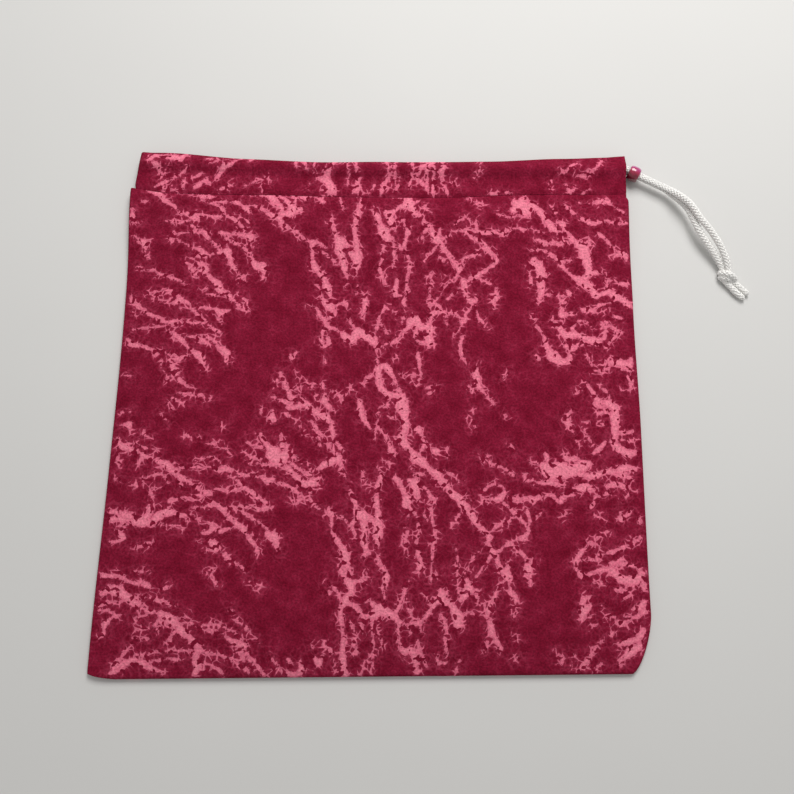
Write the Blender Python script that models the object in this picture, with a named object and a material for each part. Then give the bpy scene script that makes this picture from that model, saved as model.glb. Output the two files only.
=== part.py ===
# Flat drawstring gym bag: a cloth body, a cord casing round its mouth, one drawcord and a bead.
# Metres. X runs along the mouth, Y from the bottom seam to the mouth, Z up.
# The bag lies on its back panel. The origin is under the middle of the bag, on the surface it lies on.
import math

import bmesh
import bpy
from mathutils import Vector

# cloth
BAG_WIDTH = 0.300
BODY_HEIGHT = 0.2765
CASING_HEIGHT = 0.0230
CLOTH = 0.0006
LAYER_GAP = 0.0003
SEAM_ALLOWANCE = 0.008

# how the body lies
EDGE_THICKNESS = 0.0033
LOFT = 0.0082
LOFT_REACH = 0.045
MOUTH_BLEND = 0.060
MOUTH_FLAT = 0.009
MOUTH_SAG = 0.0055
LEFT_BOW = 0.0025
RIGHT_BOW = 0.0015
LEFT_CORNER = (0.016, 0.003)
RIGHT_CORNER = (0.012, 0.031)
CORNER_POWER = 1.5

# casing
CASING_END_INSET = 0.0025
FOLD_INSET_SEAM = 0.0040
FOLD_INSET_TOP = 0.0065
MOUTH_GAP_END = 0.0004
MOUTH_GAP_MIDDLE = 0.0054
CORD_UP_CASING = 0.0160
RIDGE_REACH = 0.0075
CHANNEL_START = 0.0015
RIDGE_SHARES = [0.6, 0.38, 0.15, -0.15, -0.38, -0.65, -1, -1.5]

# drawcord and bead
CORD_DIAMETER = 0.0035
HELD_DIAMETER = 0.0030
CORD_CLEARANCE = 0.0002
BEAD_DIAMETER = 0.0090
BEAD_LENGTH = 0.0060
BEAD_BORE = 0.0050
BEAD_LIP = 0.0008
BEAD_CENTRE = (0.1530, 0.1402, 0.0053)
BEAD_TURN = math.radians(-27)
BEAD_TRAVEL = 0.018
PINCHED_HEIGHT = 0.0019
PINCH_FADE = 0.0090
STEP_FREE = 0.0070
STEP_IN_PINCH = 0.0020
SAMPLES_PER_POINT = 16
STRAND_SIDES = 12
KNOT_CENTRE = (0.2052, 0.0756, 0.0043)
KNOT_TURN = math.radians(-62)
WRAP_RADIUS = 0.0029
WRAP_WIDE = 1.12
WRAP_TALL = 0.82
WRAP_TILT = math.radians(24)
KNOT_CORE = (0.0046, 0.0032, 0.0034)
TAIL_SPREAD = 0.0019
TAIL_END_DIAMETER = 0.0029

# the free strands, from the casing's open end to the knot, chosen by hand
FRONT_ROUTE = [
    (0.1485, 0.1424, 0.0075),
    (0.1503, 0.1415, 0.0066),
    (0.1530, 0.1402, 0.0064),
    (0.1560, 0.1387, 0.0064),
    (0.1600, 0.1367, 0.0064),
    (0.1660, 0.1336, 0.0065),
    (0.1712, 0.1309, 0.0066),
    (0.1752, 0.1279, 0.0077),
    (0.1793, 0.1238, 0.0094),
    (0.1835, 0.1194, 0.0102),
    (0.1863, 0.1151, 0.0105),
    (0.1892, 0.1100, 0.0104),
    (0.1942, 0.1036, 0.0098),
    (0.1987, 0.0969, 0.0088),
    (0.2011, 0.0929, 0.0080),
    (0.2034, 0.0881, 0.0069),
    (0.2049, 0.0841, 0.0060),
    (0.2056, 0.0807, 0.0053),
]
BACK_ROUTE = [
    (0.1485, 0.1424, 0.0033),
    (0.1503, 0.1415, 0.0040),
    (0.1530, 0.1402, 0.0042),
    (0.1560, 0.1387, 0.0042),
    (0.1600, 0.1367, 0.0042),
    (0.1660, 0.1337, 0.0042),
    (0.1713, 0.1309, 0.0043),
    (0.1757, 0.1272, 0.0046),
    (0.1797, 0.1231, 0.0054),
    (0.1830, 0.1186, 0.0065),
    (0.1850, 0.1144, 0.0070),
    (0.1881, 0.1062, 0.0072),
    (0.1911, 0.1001, 0.0066),
    (0.1945, 0.0952, 0.0059),
    (0.1984, 0.0895, 0.0048),
    (0.2009, 0.0855, 0.0040),
    (0.2025, 0.0819, 0.0036),
]
TAIL_ROUTE = [
    (0.2086, 0.0716, 0.0026),
    (0.2110, 0.0690, 0.0020),
    (0.2138, 0.0665, 0.0018),
    (0.2166, 0.0641, 0.0018),
]

HALF_WIDTH = BAG_WIDTH / 2
BOTTOM_Y = -(BODY_HEIGHT + CASING_HEIGHT) / 2
SEAM_Y = BOTTOM_Y + BODY_HEIGHT
BEAD_AXIS = Vector((math.cos(BEAD_TURN), math.sin(BEAD_TURN), 0))

# the stack of layers at the mouth: n is the distance out from the casing's inner face
TONGUE = 2 * CLOTH
SEAM_N = TONGUE + LAYER_GAP + CLOTH
RIDGE_N = 2 * CLOTH + 2 * CORD_CLEARANCE + HELD_DIAMETER
CORD_N = CLOTH + CORD_CLEARANCE + HELD_DIAMETER / 2
MOUTH_MID_Z = RIDGE_N + MOUTH_GAP_END / 2
MOUTH_OPEN_HALF = HALF_WIDTH - FOLD_INSET_TOP - 1.5 * RIDGE_N


def smooth_step(t):
    t = max(0.0, min(1.0, t))
    return t * t * (3 - 2 * t)


def blend(a, b, t):
    return a + (b - a) * t


def bell(t):
    return math.cos(min(1.0, abs(t)) * math.pi / 2) ** 2


def corner_cut(height, corner):
    # how far an edge is drawn in at this height above the bottom seam
    reach, rise = corner
    if height >= rise:
        return 0.0
    share = 1 - height / rise
    return reach * (1 - (1 - share**CORNER_POWER) ** (1 / CORNER_POWER))


def seam_line(x):
    # the casing's seam dips towards the middle of the mouth
    return SEAM_Y - MOUTH_SAG * (1 - min(1.0, abs(x) / HALF_WIDTH) ** 2)


def left_edge(v):
    bow = LEFT_BOW * math.sin(math.pi * v) ** 2
    return -HALF_WIDTH + bow + corner_cut(v * BODY_HEIGHT, LEFT_CORNER)


def right_edge(v):
    bow = RIGHT_BOW * math.sin(math.pi * v) ** 2
    return HALF_WIDTH - bow - corner_cut(v * BODY_HEIGHT, RIGHT_CORNER)


def mouth_gap(x):
    # the casings lie together at both ends and part towards the middle
    share = min(1.0, abs(x) / MOUTH_OPEN_HALF)
    return MOUTH_GAP_END + (MOUTH_GAP_MIDDLE - MOUTH_GAP_END) * (1 - share**4)


def mouth_share(v):
    # 0 over the body, 1 along the last stretch below the casing
    below = (1 - v) * BODY_HEIGHT - MOUTH_FLAT
    return smooth_step(1 - below / (MOUTH_BLEND - MOUTH_FLAT))


def body_back(v):
    return blend(0.0, RIDGE_N - SEAM_N, mouth_share(v))


def body_front(x, v):
    from_side = min(x - left_edge(v), right_edge(v) - x) / LOFT_REACH
    from_bottom = v * BODY_HEIGHT / LOFT_REACH
    swell = math.sqrt(smooth_step(from_side) * smooth_step(from_bottom))
    lying = blend(EDGE_THICKNESS, LOFT, swell)
    at_mouth = RIDGE_N + mouth_gap(x) + SEAM_N
    return blend(lying, at_mouth, mouth_share(v))


def edge_heights(v, x):
    # the heights of the rounded side edges
    low, high = body_back(v), body_front(x, v)
    return (low + high) / 2, (high - low) / 2


def new_object(name, mesh, material):
    mesh.materials.append(material)
    item = bpy.data.objects.new(name, mesh)
    bpy.context.scene.collection.objects.link(item)
    return item


def make_material(name, color, roughness, metallic=0.0):
    material = bpy.data.materials.new(name)
    material.use_nodes = True
    shader = material.node_tree.nodes["Principled BSDF"]
    shader.inputs["Base Color"].default_value = (*color, 1.0)
    shader.inputs["Roughness"].default_value = roughness
    shader.inputs["Metallic"].default_value = metallic
    return material


def mesh_from(bm, name, smooth_angle=35):
    bmesh.ops.recalc_face_normals(bm, faces=bm.faces)
    if bm.calc_volume(signed=True) < 0:
        bmesh.ops.reverse_faces(bm, faces=bm.faces)
    mesh = bpy.data.meshes.new(name)
    bm.to_mesh(mesh)
    bm.free()
    mesh.shade_smooth()
    mesh.set_sharp_from_angle(angle=math.radians(smooth_angle))
    return mesh


def loft(bm, rings):
    # skins a list of equally long closed rings, and returns their vertices
    rows = [[bm.verts.new(point) for point in ring] for ring in rings]
    for row, following in zip(rows, rows[1:]):
        for i in range(len(row)):
            j = (i + 1) % len(row)
            bm.faces.new((row[i], row[j], following[j], following[i]))
    return rows


# where the body's mesh has its points: shares of the width, heights above the bottom seam in
# metres, and shares of the body's height above those
COLUMNS = [0, 0.025, 0.07, 0.13, 0.21, 0.33, 0.5, 0.67, 0.79, 0.87, 0.93, 0.975, 1]
LEFT_ARC_POINTS = 3
RIGHT_ARC_POINTS = 8
BOTTOM_HEIGHTS = [0.018, 0.025, 0.033]
BODY_SHARES = [0.2, 0.35, 0.5, 0.65, 0.78, 0.83, 0.88, 0.92]
FIN_END_SHARE = 0.925
MOUTH_SHARES = [0.96, 1.0]
# the rounded bottom edge: share of its rounding in from the seam, and how flat it is there
BOTTOM_EDGE = [(0.0, 0.35), (0.33, 0.75), (1.0, 1.0)]


def side_arc(centre_x, reach, middle_z, half, count, side):
    # points round one side edge: down from the front on the right, up from the back on the left
    points = []
    for i in range(count):
        angle = math.pi * (i + 1) / (count + 1)
        drop = math.cos(angle) * half
        z = middle_z + (drop if side > 0 else -drop)
        points.append((centre_x + side * reach * math.sin(angle), z))
    return points


def place(points, v):
    # lifts (x, z) points of one ring to their place between the bottom seam and the casing seam
    return [(x, BOTTOM_Y + v * (seam_line(x) - BOTTOM_Y), z) for x, z in points]


def outer_ring(v, squash=1.0):
    # squash flattens the ring towards its middle height, at the bottom seam's rounded edge
    round_in = EDGE_THICKNESS / 2
    low_x, high_x = left_edge(v) + round_in, right_edge(v) - round_in
    xs = [blend(low_x, high_x, share) for share in COLUMNS]
    front = [(x, body_front(x, v)) for x in xs]
    back = [(x, body_back(v)) for x in reversed(xs)]
    right = side_arc(high_x, round_in, *edge_heights(v, high_x), RIGHT_ARC_POINTS, 1)
    left = side_arc(low_x, round_in, *edge_heights(v, low_x), LEFT_ARC_POINTS, -1)
    ring = front + right + back + left
    middle = EDGE_THICKNESS / 2
    return place([(x, middle + (z - middle) * squash) for x, z in ring], v)


def inner_ring(v, fin_tip):
    # fin_tip is the x that the turned-in seam allowance reaches, or None above its end
    round_in = EDGE_THICKNESS / 2 - CLOTH
    low_x = left_edge(v) + CLOTH + round_in
    high_x = right_edge(v) - CLOTH - round_in
    xs = [blend(low_x, high_x, share) for share in COLUMNS]
    front = [(x, body_front(x, v) - CLOTH) for x in xs]
    back = [(x, body_back(v) + CLOTH) for x in reversed(xs)]
    middle_left, half_left = edge_heights(v, low_x)
    left = side_arc(low_x, round_in, middle_left, half_left - CLOTH, LEFT_ARC_POINTS, -1)
    middle, half = edge_heights(v, high_x)
    if fin_tip is None:
        right = side_arc(high_x, round_in, middle, half - CLOTH, RIGHT_ARC_POINTS, 1)
    else:
        root, halfway = high_x + round_in / 2, (high_x + fin_tip) / 2
        over = [(root, middle + half - 1.5 * CLOTH), (root, middle + CLOTH)]
        over += [(halfway, middle + CLOTH), (fin_tip, middle + CLOTH)]
        under = [(x, 2 * middle - z) for x, z in reversed(over)]
        right = over + under
    return place(front + right + back + left, v)


def make_bag_body(material):
    # one piece of cloth folded at the left edge, sewn along the bottom and the right edge,
    # with both seam allowances turned in between the panels
    bottom_round = EDGE_THICKNESS / 2
    outer = [(bottom_round * share / BODY_HEIGHT, squash) for share, squash in BOTTOM_EDGE]
    outer += [(SEAM_ALLOWANCE / BODY_HEIGHT, 1.0)]
    outer += [(height / BODY_HEIGHT, 1.0) for height in BOTTOM_HEIGHTS]
    outer += [(v, 1.0) for v in BODY_SHARES + MOUTH_SHARES]

    # the fin's tip runs near the fold along the bottom seam, and beside the right seam above it
    fin_side = right_edge(0.5) - bottom_round - SEAM_ALLOWANCE
    fin_bottom = left_edge(SEAM_ALLOWANCE / BODY_HEIGHT) + EDGE_THICKNESS
    turn_height = SEAM_ALLOWANCE + LAYER_GAP
    turn_tip = right_edge(turn_height / BODY_HEIGHT) - SEAM_ALLOWANCE
    inner = [((bottom_round + LAYER_GAP) / BODY_HEIGHT, fin_bottom)]
    inner += [(SEAM_ALLOWANCE / BODY_HEIGHT, fin_bottom), (turn_height / BODY_HEIGHT, turn_tip)]
    inner += [(height / BODY_HEIGHT, fin_side) for height in BOTTOM_HEIGHTS]
    inner += [(v, fin_side) for v in BODY_SHARES]
    inner += [(v, None) for v in [FIN_END_SHARE] + MOUTH_SHARES]

    bm = bmesh.new()
    outer_rows = loft(bm, [outer_ring(v, squash) for v, squash in outer])
    inner_rows = loft(bm, [inner_ring(v, fin) for v, fin in inner])
    bm.faces.new(outer_rows[0])
    bm.faces.new(inner_rows[0])
    rim_out, rim_in = outer_rows[-1], inner_rows[-1]
    for i in range(len(rim_out)):
        j = (i + 1) % len(rim_out)
        bm.faces.new((rim_out[i], rim_out[j], rim_in[j], rim_in[i]))
    return new_object("bag_body", mesh_from(bm, "bag_body"), material)


def casing_outside(height):
    # distance of the casing's outer face from its inner face, at a height above the seam
    return SEAM_N + (RIDGE_N - SEAM_N) * bell((height - CORD_UP_CASING) / RIDGE_REACH)


def fold_line(height):
    # the straight left end of the casing, drawn in a little towards the top
    share = height / CASING_HEIGHT
    return -HALF_WIDTH + blend(FOLD_INSET_SEAM, FOLD_INSET_TOP, share)


def casing_point(along, height, n):
    # along runs 0 to 1 on the front, 1 to 2 round the left fold and 2 to 3 on the back
    fold_radius = MOUTH_GAP_END / 2
    turn_x = fold_line(height) + fold_radius + casing_outside(max(0.0, height))
    end_x = HALF_WIDTH - CASING_END_INSET
    if along <= 1:
        x = blend(end_x, turn_x, along)
        z = RIDGE_N + mouth_gap(x) + n
    elif along < 2:
        angle = (along - 1) * math.pi
        x = turn_x - (fold_radius + n) * math.sin(angle)
        z = MOUTH_MID_Z + (fold_radius + n) * math.cos(angle)
    else:
        x = blend(turn_x, end_x, along - 2)
        z = RIDGE_N - n
    return x, seam_line(x) + height, z


def band_stations():
    # where the casing and the cord in it have their sections, closer together at the ends
    straight, turn = 16, 8
    front = [(1 - math.cos(math.pi * i / straight)) / 2 for i in range(straight + 1)]
    return front + [1 + i / turn for i in range(1, turn)] + [2 + share for share in front]


def casing_sections():
    # the folded strip's outline and its channel, as (height, n) points
    top_round = CLOTH + LAYER_GAP
    top = CASING_HEIGHT - top_round
    ridge = [CORD_UP_CASING + RIDGE_REACH * share for share in RIDGE_SHARES]
    sleeve = casing_outside(top)
    outline = [(-SEAM_ALLOWANCE, 0), (CHANNEL_START, 0), (CORD_UP_CASING, 0), (top, 0)]
    for share in (0.25, 0.5, 0.75):
        angle = share * math.pi
        outline.append((top + top_round * math.sin(angle), sleeve / 2 * (1 - math.cos(angle))))
    outline += [(height, casing_outside(height)) for height in [top] + ridge + [LAYER_GAP]]
    outline += [(LAYER_GAP, TONGUE), (-SEAM_ALLOWANCE, TONGUE)]
    channel = [(CHANNEL_START, CLOTH), (CORD_UP_CASING, CLOTH), (top, CLOTH)]
    channel.append((top + top_round - CLOTH, sleeve / 2))
    channel += [(height, casing_outside(height) - CLOTH) for height in [top] + ridge]
    channel.append((CHANNEL_START, SEAM_N - CLOTH))
    return outline, channel


def make_casing_band(material):
    # one folded strip round the mouth, its raw edges turned down inside the body, open at the right
    bm = bmesh.new()
    outline, channel = casing_sections()
    ends = [], []
    for section in (outline, channel):
        rings = [[casing_point(along, height, n) for height, n in section] for along in band_stations()]
        rows = loft(bm, rings)
        for end, row in zip(ends, (rows[0], rows[-1])):
            end += [bm.edges.get((row[i], row[i - 1])) for i in range(len(row))]
    for end in ends:
        bmesh.ops.triangle_fill(bm, edges=end, use_beauty=True)
    return new_object("casing_band", mesh_from(bm, "casing_band"), material)


def make_tube(name, points, radii, material):
    curve = bpy.data.curves.new(name, "CURVE")
    curve.dimensions = "3D"
    curve.bevel_depth = 1.0
    curve.bevel_resolution = 2
    curve.use_fill_caps = True
    spline = curve.splines.new("POLY")
    spline.points.add(len(points) - 1)
    for spot, point, radius in zip(spline.points, points, radii):
        spot.co = (*point, 1.0)
        spot.radius = radius
    curve.materials.append(material)
    item = bpy.data.objects.new(name, curve)
    bpy.context.scene.collection.objects.link(item)
    return item


def smooth_route(route):
    # points on one smooth curve through the chosen points, closer together where the cord is pinched
    knots = [Vector(point) for point in route]
    knots = [2 * knots[0] - knots[1]] + knots + [2 * knots[-1] - knots[-2]]
    fine = []
    for a, b, c, d in zip(knots, knots[1:], knots[2:], knots[3:]):
        for i in range(SAMPLES_PER_POINT):
            t = i / SAMPLES_PER_POINT
            fine.append(0.5 * (2 * b + (c - a) * t + (2 * a - 5 * b + 4 * c - d) * t * t
                               + (3 * b - 3 * c + d - a) * t**3))
    last = knots[-2]
    points = [fine[0]]
    for point in fine[1:]:
        step = STEP_FREE if past_travel(point) > PINCH_FADE else STEP_IN_PINCH
        if (point - points[-1]).length >= step and (last - point).length > step / 2:
            points.append(point)
    return points + [last]


def past_travel(point):
    # distance along the bead's axis past the stretch that the bead slides on
    return (Vector(point) - Vector(BEAD_CENTRE)).dot(BEAD_AXIS) - BEAD_TRAVEL - BEAD_LENGTH / 2


def cord_height(point):
    # the cord is squeezed flat as far as the bead slides, and round a few millimetres past that
    return blend(PINCHED_HEIGHT, CORD_DIAMETER, smooth_step(past_travel(point) / PINCH_FADE))


def make_held_cord(material):
    # the stretch inside the casing: along the front, round the fold and back along the other side
    points = [casing_point(along, CORD_UP_CASING, CORD_N) for along in band_stations()]
    return make_tube("drawcord_in_casing", points, [HELD_DIAMETER / 2] * len(points), material)


def make_free_strands(material):
    turns = [2 * math.pi * i / STRAND_SIDES for i in range(STRAND_SIDES)]
    for name, route in (("drawcord_front_strand", FRONT_ROUTE), ("drawcord_back_strand", BACK_ROUTE)):
        points = smooth_route(route)
        rings = []
        for before, point, after in zip(points[:1] + points, points, points[1:] + points[-1:]):
            along = (after - before).normalized()
            across = along.cross(Vector((0, 0, 1))).normalized()
            wide, tall = across * CORD_DIAMETER / 2, across.cross(along) * cord_height(point) / 2
            rings.append([point + wide * math.cos(turn) + tall * math.sin(turn) for turn in turns])
        bm = bmesh.new()
        rows = loft(bm, rings)
        bm.faces.new(rows[0])
        bm.faces.new(rows[-1])
        new_object(name, mesh_from(bm, name, 50), material)


def make_tails(material):
    # two cut ends side by side behind the knot
    points = [Vector(point) for point in TAIL_ROUTE]
    across = (points[-1] - points[0]).cross(Vector((0, 0, 1))).normalized() * TAIL_SPREAD
    radii = [CORD_DIAMETER / 2] * (len(points) - 1) + [TAIL_END_DIAMETER / 2]
    for name, side in (("drawcord_front_tail", 1), ("drawcord_back_tail", -1)):
        make_tube(name, [point + side * across for point in points], radii, material)


def make_knot(material):
    # an overhand knot in both strands: a core and two crossing wraps, united into one solid
    bm = bmesh.new()
    bmesh.ops.create_uvsphere(bm, u_segments=20, v_segments=12, radius=1.0)
    bmesh.ops.scale(bm, vec=KNOT_CORE, verts=bm.verts)
    core = new_object("drawcord_knot", mesh_from(bm, "drawcord_knot"), material)
    core.location = KNOT_CENTRE
    core.rotation_euler.z = KNOT_TURN
    around, across, cord = 20, 10, CORD_DIAMETER / 2
    for i, tilt in enumerate((-WRAP_TILT, WRAP_TILT)):
        rings = []
        for j in range(around + 1):
            turn = 2 * math.pi * j / around
            out = Vector((0, math.cos(turn) * WRAP_WIDE, math.sin(turn) * WRAP_TALL))
            lifts = [2 * math.pi * k / across for k in range(across)]
            rings.append([out * (WRAP_RADIUS + cord * math.cos(lift)) + Vector((cord * math.sin(lift), 0, 0))
                          for lift in lifts])
        bm = bmesh.new()
        loft(bm, rings)
        bmesh.ops.remove_doubles(bm, verts=bm.verts, dist=1e-6)
        wrap = new_object(f"knot_wrap_{i + 1}", mesh_from(bm, f"knot_wrap_{i + 1}"), material)
        wrap.parent = core
        wrap.rotation_euler.z = tilt
        wrap.hide_render = True
        wrap.display_type = "WIRE"
        union = core.modifiers.new(f"wrap {i + 1}", "BOOLEAN")
        union.operation = "UNION"
        union.object = wrap
    return core


def make_bead(material):
    # a turned barrel with rounded lips, its hole wide enough for both pinched strands
    half, bore, outside = BEAD_LENGTH / 2, BEAD_BORE / 2, BEAD_DIAMETER / 2
    lip = [(half - BEAD_LIP * (1 - math.sin(a)), bore + BEAD_LIP * (1 - math.cos(a)))
           for a in (0, math.pi / 4, math.pi / 2)]
    crown = bore + BEAD_LIP
    barrel = []
    for step in range(1, 6):
        angle = math.pi / 2 * step / 5
        barrel.append((half * math.cos(angle), crown + (outside - crown) * math.sin(angle)))
    right = lip + barrel
    profile = right + [(-a, r) for a, r in reversed(right[:-1])]
    bm = bmesh.new()
    verts = [bm.verts.new((a, 0, r)) for a, r in profile]
    edges = [bm.edges.new((verts[i - 1], verts[i])) for i in range(len(verts))]
    bmesh.ops.spin(bm, geom=verts + edges, axis=(1, 0, 0), cent=(0, 0, 0),
                   angle=2 * math.pi, steps=36, use_merge=True, use_duplicate=False)
    bmesh.ops.remove_doubles(bm, verts=bm.verts, dist=1e-6)
    bead = new_object("cord_bead", mesh_from(bm, "cord_bead", 50), material)
    bead.location = BEAD_CENTRE
    bead.rotation_euler.z = BEAD_TURN
    return bead


def main():
    for item in list(bpy.data.objects):
        bpy.data.objects.remove(item, do_unlink=True)
    flannel = make_material("burgundy flannel", (0.26, 0.012, 0.038), 0.9)
    cord = make_material("white braided polyester", (0.80, 0.79, 0.76), 0.6)
    pearl = make_material("ruby pearl acrylic", (0.52, 0.015, 0.10), 0.18)
    make_bag_body(flannel)
    make_casing_band(flannel)
    make_held_cord(cord)
    make_free_strands(cord)
    make_knot(cord)
    make_tails(cord)
    make_bead(pearl)


main()
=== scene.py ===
# Looks of the drawstring gym bag: printed flannel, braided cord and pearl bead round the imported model.
# Metres. X runs along the mouth, Y from the bottom seam to the mouth, Z up from the table.
import math

import bmesh
import bpy
import numpy as np
from mathutils import Matrix, Vector, noise


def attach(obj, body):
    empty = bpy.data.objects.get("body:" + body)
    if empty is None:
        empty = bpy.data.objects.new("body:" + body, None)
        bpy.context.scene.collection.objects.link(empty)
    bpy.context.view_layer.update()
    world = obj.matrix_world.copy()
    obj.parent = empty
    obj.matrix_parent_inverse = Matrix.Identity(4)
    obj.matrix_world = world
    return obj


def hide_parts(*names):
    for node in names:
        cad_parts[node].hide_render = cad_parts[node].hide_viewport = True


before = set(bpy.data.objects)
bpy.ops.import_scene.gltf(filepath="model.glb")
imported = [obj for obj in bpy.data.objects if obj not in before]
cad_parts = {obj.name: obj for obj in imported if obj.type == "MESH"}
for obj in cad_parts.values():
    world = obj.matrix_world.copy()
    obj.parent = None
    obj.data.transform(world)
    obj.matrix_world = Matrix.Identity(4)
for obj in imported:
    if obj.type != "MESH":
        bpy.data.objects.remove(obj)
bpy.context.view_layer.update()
print("frame loaded")


def linearColour(hexColour):
    # sRGB hex to the linear values that shaders take
    parts = [int(hexColour[i:i + 2], 16) / 255 for i in (1, 3, 5)]
    return tuple(c / 12.92 if c <= 0.04045 else ((c + 0.055) / 1.055) ** 2.4 for c in parts) + (1.0,)


def add(tree, kind, inputs=None, **settings):
    # one node, its settings, and its inputs: values, or the sockets or nodes that feed them
    node = tree.nodes.new(kind)
    for name, value in settings.items():
        setattr(node, name, value)
    for key, value in (inputs or {}).items():
        if isinstance(value, bpy.types.Node):
            value = value.outputs[0]
        if isinstance(value, bpy.types.NodeSocket):
            tree.links.new(value, node.inputs[key])
        else:
            node.inputs[key].default_value = value
    return node


def setColours(ramp, stops):
    # colours at places from 0 to 1, in order
    elements = ramp.color_ramp.elements
    for element, (place, colour) in zip(elements, (stops[0], stops[-1])):
        element.position, element.color = place, linearColour(colour)
    for place, colour in stops[1:-1]:
        elements.new(place).color = linearColour(colour)


def newMaterial(name, numbers):
    # a material whose shader has these numbers on its own sockets
    material = bpy.data.materials.new(name)
    material.use_nodes = True
    shader = material.node_tree.nodes["Principled BSDF"]
    for socket, value in numbers.items():
        shader.inputs[socket].default_value = value
    return material, material.node_tree, shader


def newPiece(name, mesh, material):
    mesh.materials.clear()
    mesh.materials.append(material)
    piece = bpy.data.objects.new(name, mesh)
    bpy.context.scene.collection.objects.link(piece)
    return piece


def meshFrom(bm, name):
    # a smooth closed mesh with its faces turned outwards
    bmesh.ops.recalc_face_normals(bm, faces=bm.faces)
    if bm.calc_volume(signed=True) < 0:
        bmesh.ops.reverse_faces(bm, faces=bm.faces)
    mesh = bpy.data.meshes.new(name)
    bm.to_mesh(mesh)
    bm.free()
    mesh.shade_smooth()
    return mesh


def smoothStep(t):
    t = min(1.0, max(0.0, t))
    return t * t * (3 - 2 * t)


def blend(a, b, t):
    return a + (b - a) * t


def bell(t):
    return math.cos(min(1.0, abs(t)) * math.pi / 2) ** 2


def wave(x, y, size, seed):
    # smooth noise from -1 to 1 whose bumps are about size across
    return noise.noise((x / size + seed * 7.31, y / size - seed * 3.77, seed * 1.93))


# camera and light
view = {
    "place": (0.00759, -0.0936, 0.44314),
    "tilt": 12.188,  # degrees from straight down
    "roll": 3.130,
    "yaw": -2.489,
    "lens": 36.0,  # mm
    "sensor": 36.0,
    "nearest": 0.01,
}
studio = {
    "lampPlace": (0.17, 0.64, 0.76),
    "lampAim": (0.03, 0.05, 0.0),
    "lampSize": 0.50,
    "lampPower": 7.3,
    "lampColour": (1.0, 0.99, 0.975),
    "skyColour": (1.0, 1.0, 0.99, 1.0),
    "skyStrength": 0.40,
    "tableColours": ("#D9D8D6", "#DDDCDA"),
    "tableReach": 2.5,
}


def makeCamera():
    data = bpy.data.cameras.new("photo view")
    data.lens, data.sensor_width, data.clip_start = view["lens"], view["sensor"], view["nearest"]
    camera = bpy.data.objects.new("photo view", data)
    bpy.context.scene.collection.objects.link(camera)
    turn = (Matrix.Rotation(math.radians(view["yaw"]), 4, "Z")
            @ Matrix.Rotation(math.radians(view["tilt"]), 4, "X")
            @ Matrix.Rotation(math.radians(view["roll"]), 4, "Z"))
    camera.matrix_world = Matrix.Translation(view["place"]) @ turn
    bpy.context.scene.camera = camera


def tableMaterial():
    # matt white laminate: pale, with faint clouds and hardly any gloss
    material, tree, shader = newMaterial("matt laminate table", {
        "Roughness": 0.75, "Specular IOR Level": 0.25})
    where = add(tree, "ShaderNodeTexCoord").outputs["Object"]
    faint = add(tree, "ShaderNodeTexNoise", {"Vector": where, "Scale": 7.0, "Detail": 3.0})
    dark, light = [linearColour(c) for c in studio["tableColours"]]
    tint = add(tree, "ShaderNodeMixRGB", {"Fac": faint, "Color1": dark, "Color2": light})
    tree.links.new(tint.outputs[0], shader.inputs["Base Color"])
    return material


def makeStudio():
    scene = bpy.context.scene
    scene.view_settings.view_transform = "Standard"
    world = bpy.data.worlds.new("soft room")
    world.use_nodes = True
    sky = world.node_tree.nodes["Background"]
    sky.inputs["Color"].default_value = studio["skyColour"]
    sky.inputs["Strength"].default_value = studio["skyStrength"]
    scene.world = world
    data = bpy.data.lights.new("window light", "AREA")
    data.shape, data.size, data.energy = "SQUARE", studio["lampSize"], studio["lampPower"]
    data.color = studio["lampColour"]
    lamp = bpy.data.objects.new("window light", data)
    lamp.location = studio["lampPlace"]
    aim = Vector(studio["lampAim"]) - lamp.location
    lamp.rotation_euler = aim.to_track_quat("-Z", "Y").to_euler()
    scene.collection.objects.link(lamp)
    bm = bmesh.new()
    bmesh.ops.create_grid(bm, x_segments=2, y_segments=2, size=studio["tableReach"])
    mesh = bpy.data.meshes.new("table")
    bm.to_mesh(mesh)
    bm.free()
    table = newPiece("table", mesh, tableMaterial())


makeCamera()
makeStudio()
print("camera, light and table made")

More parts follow.
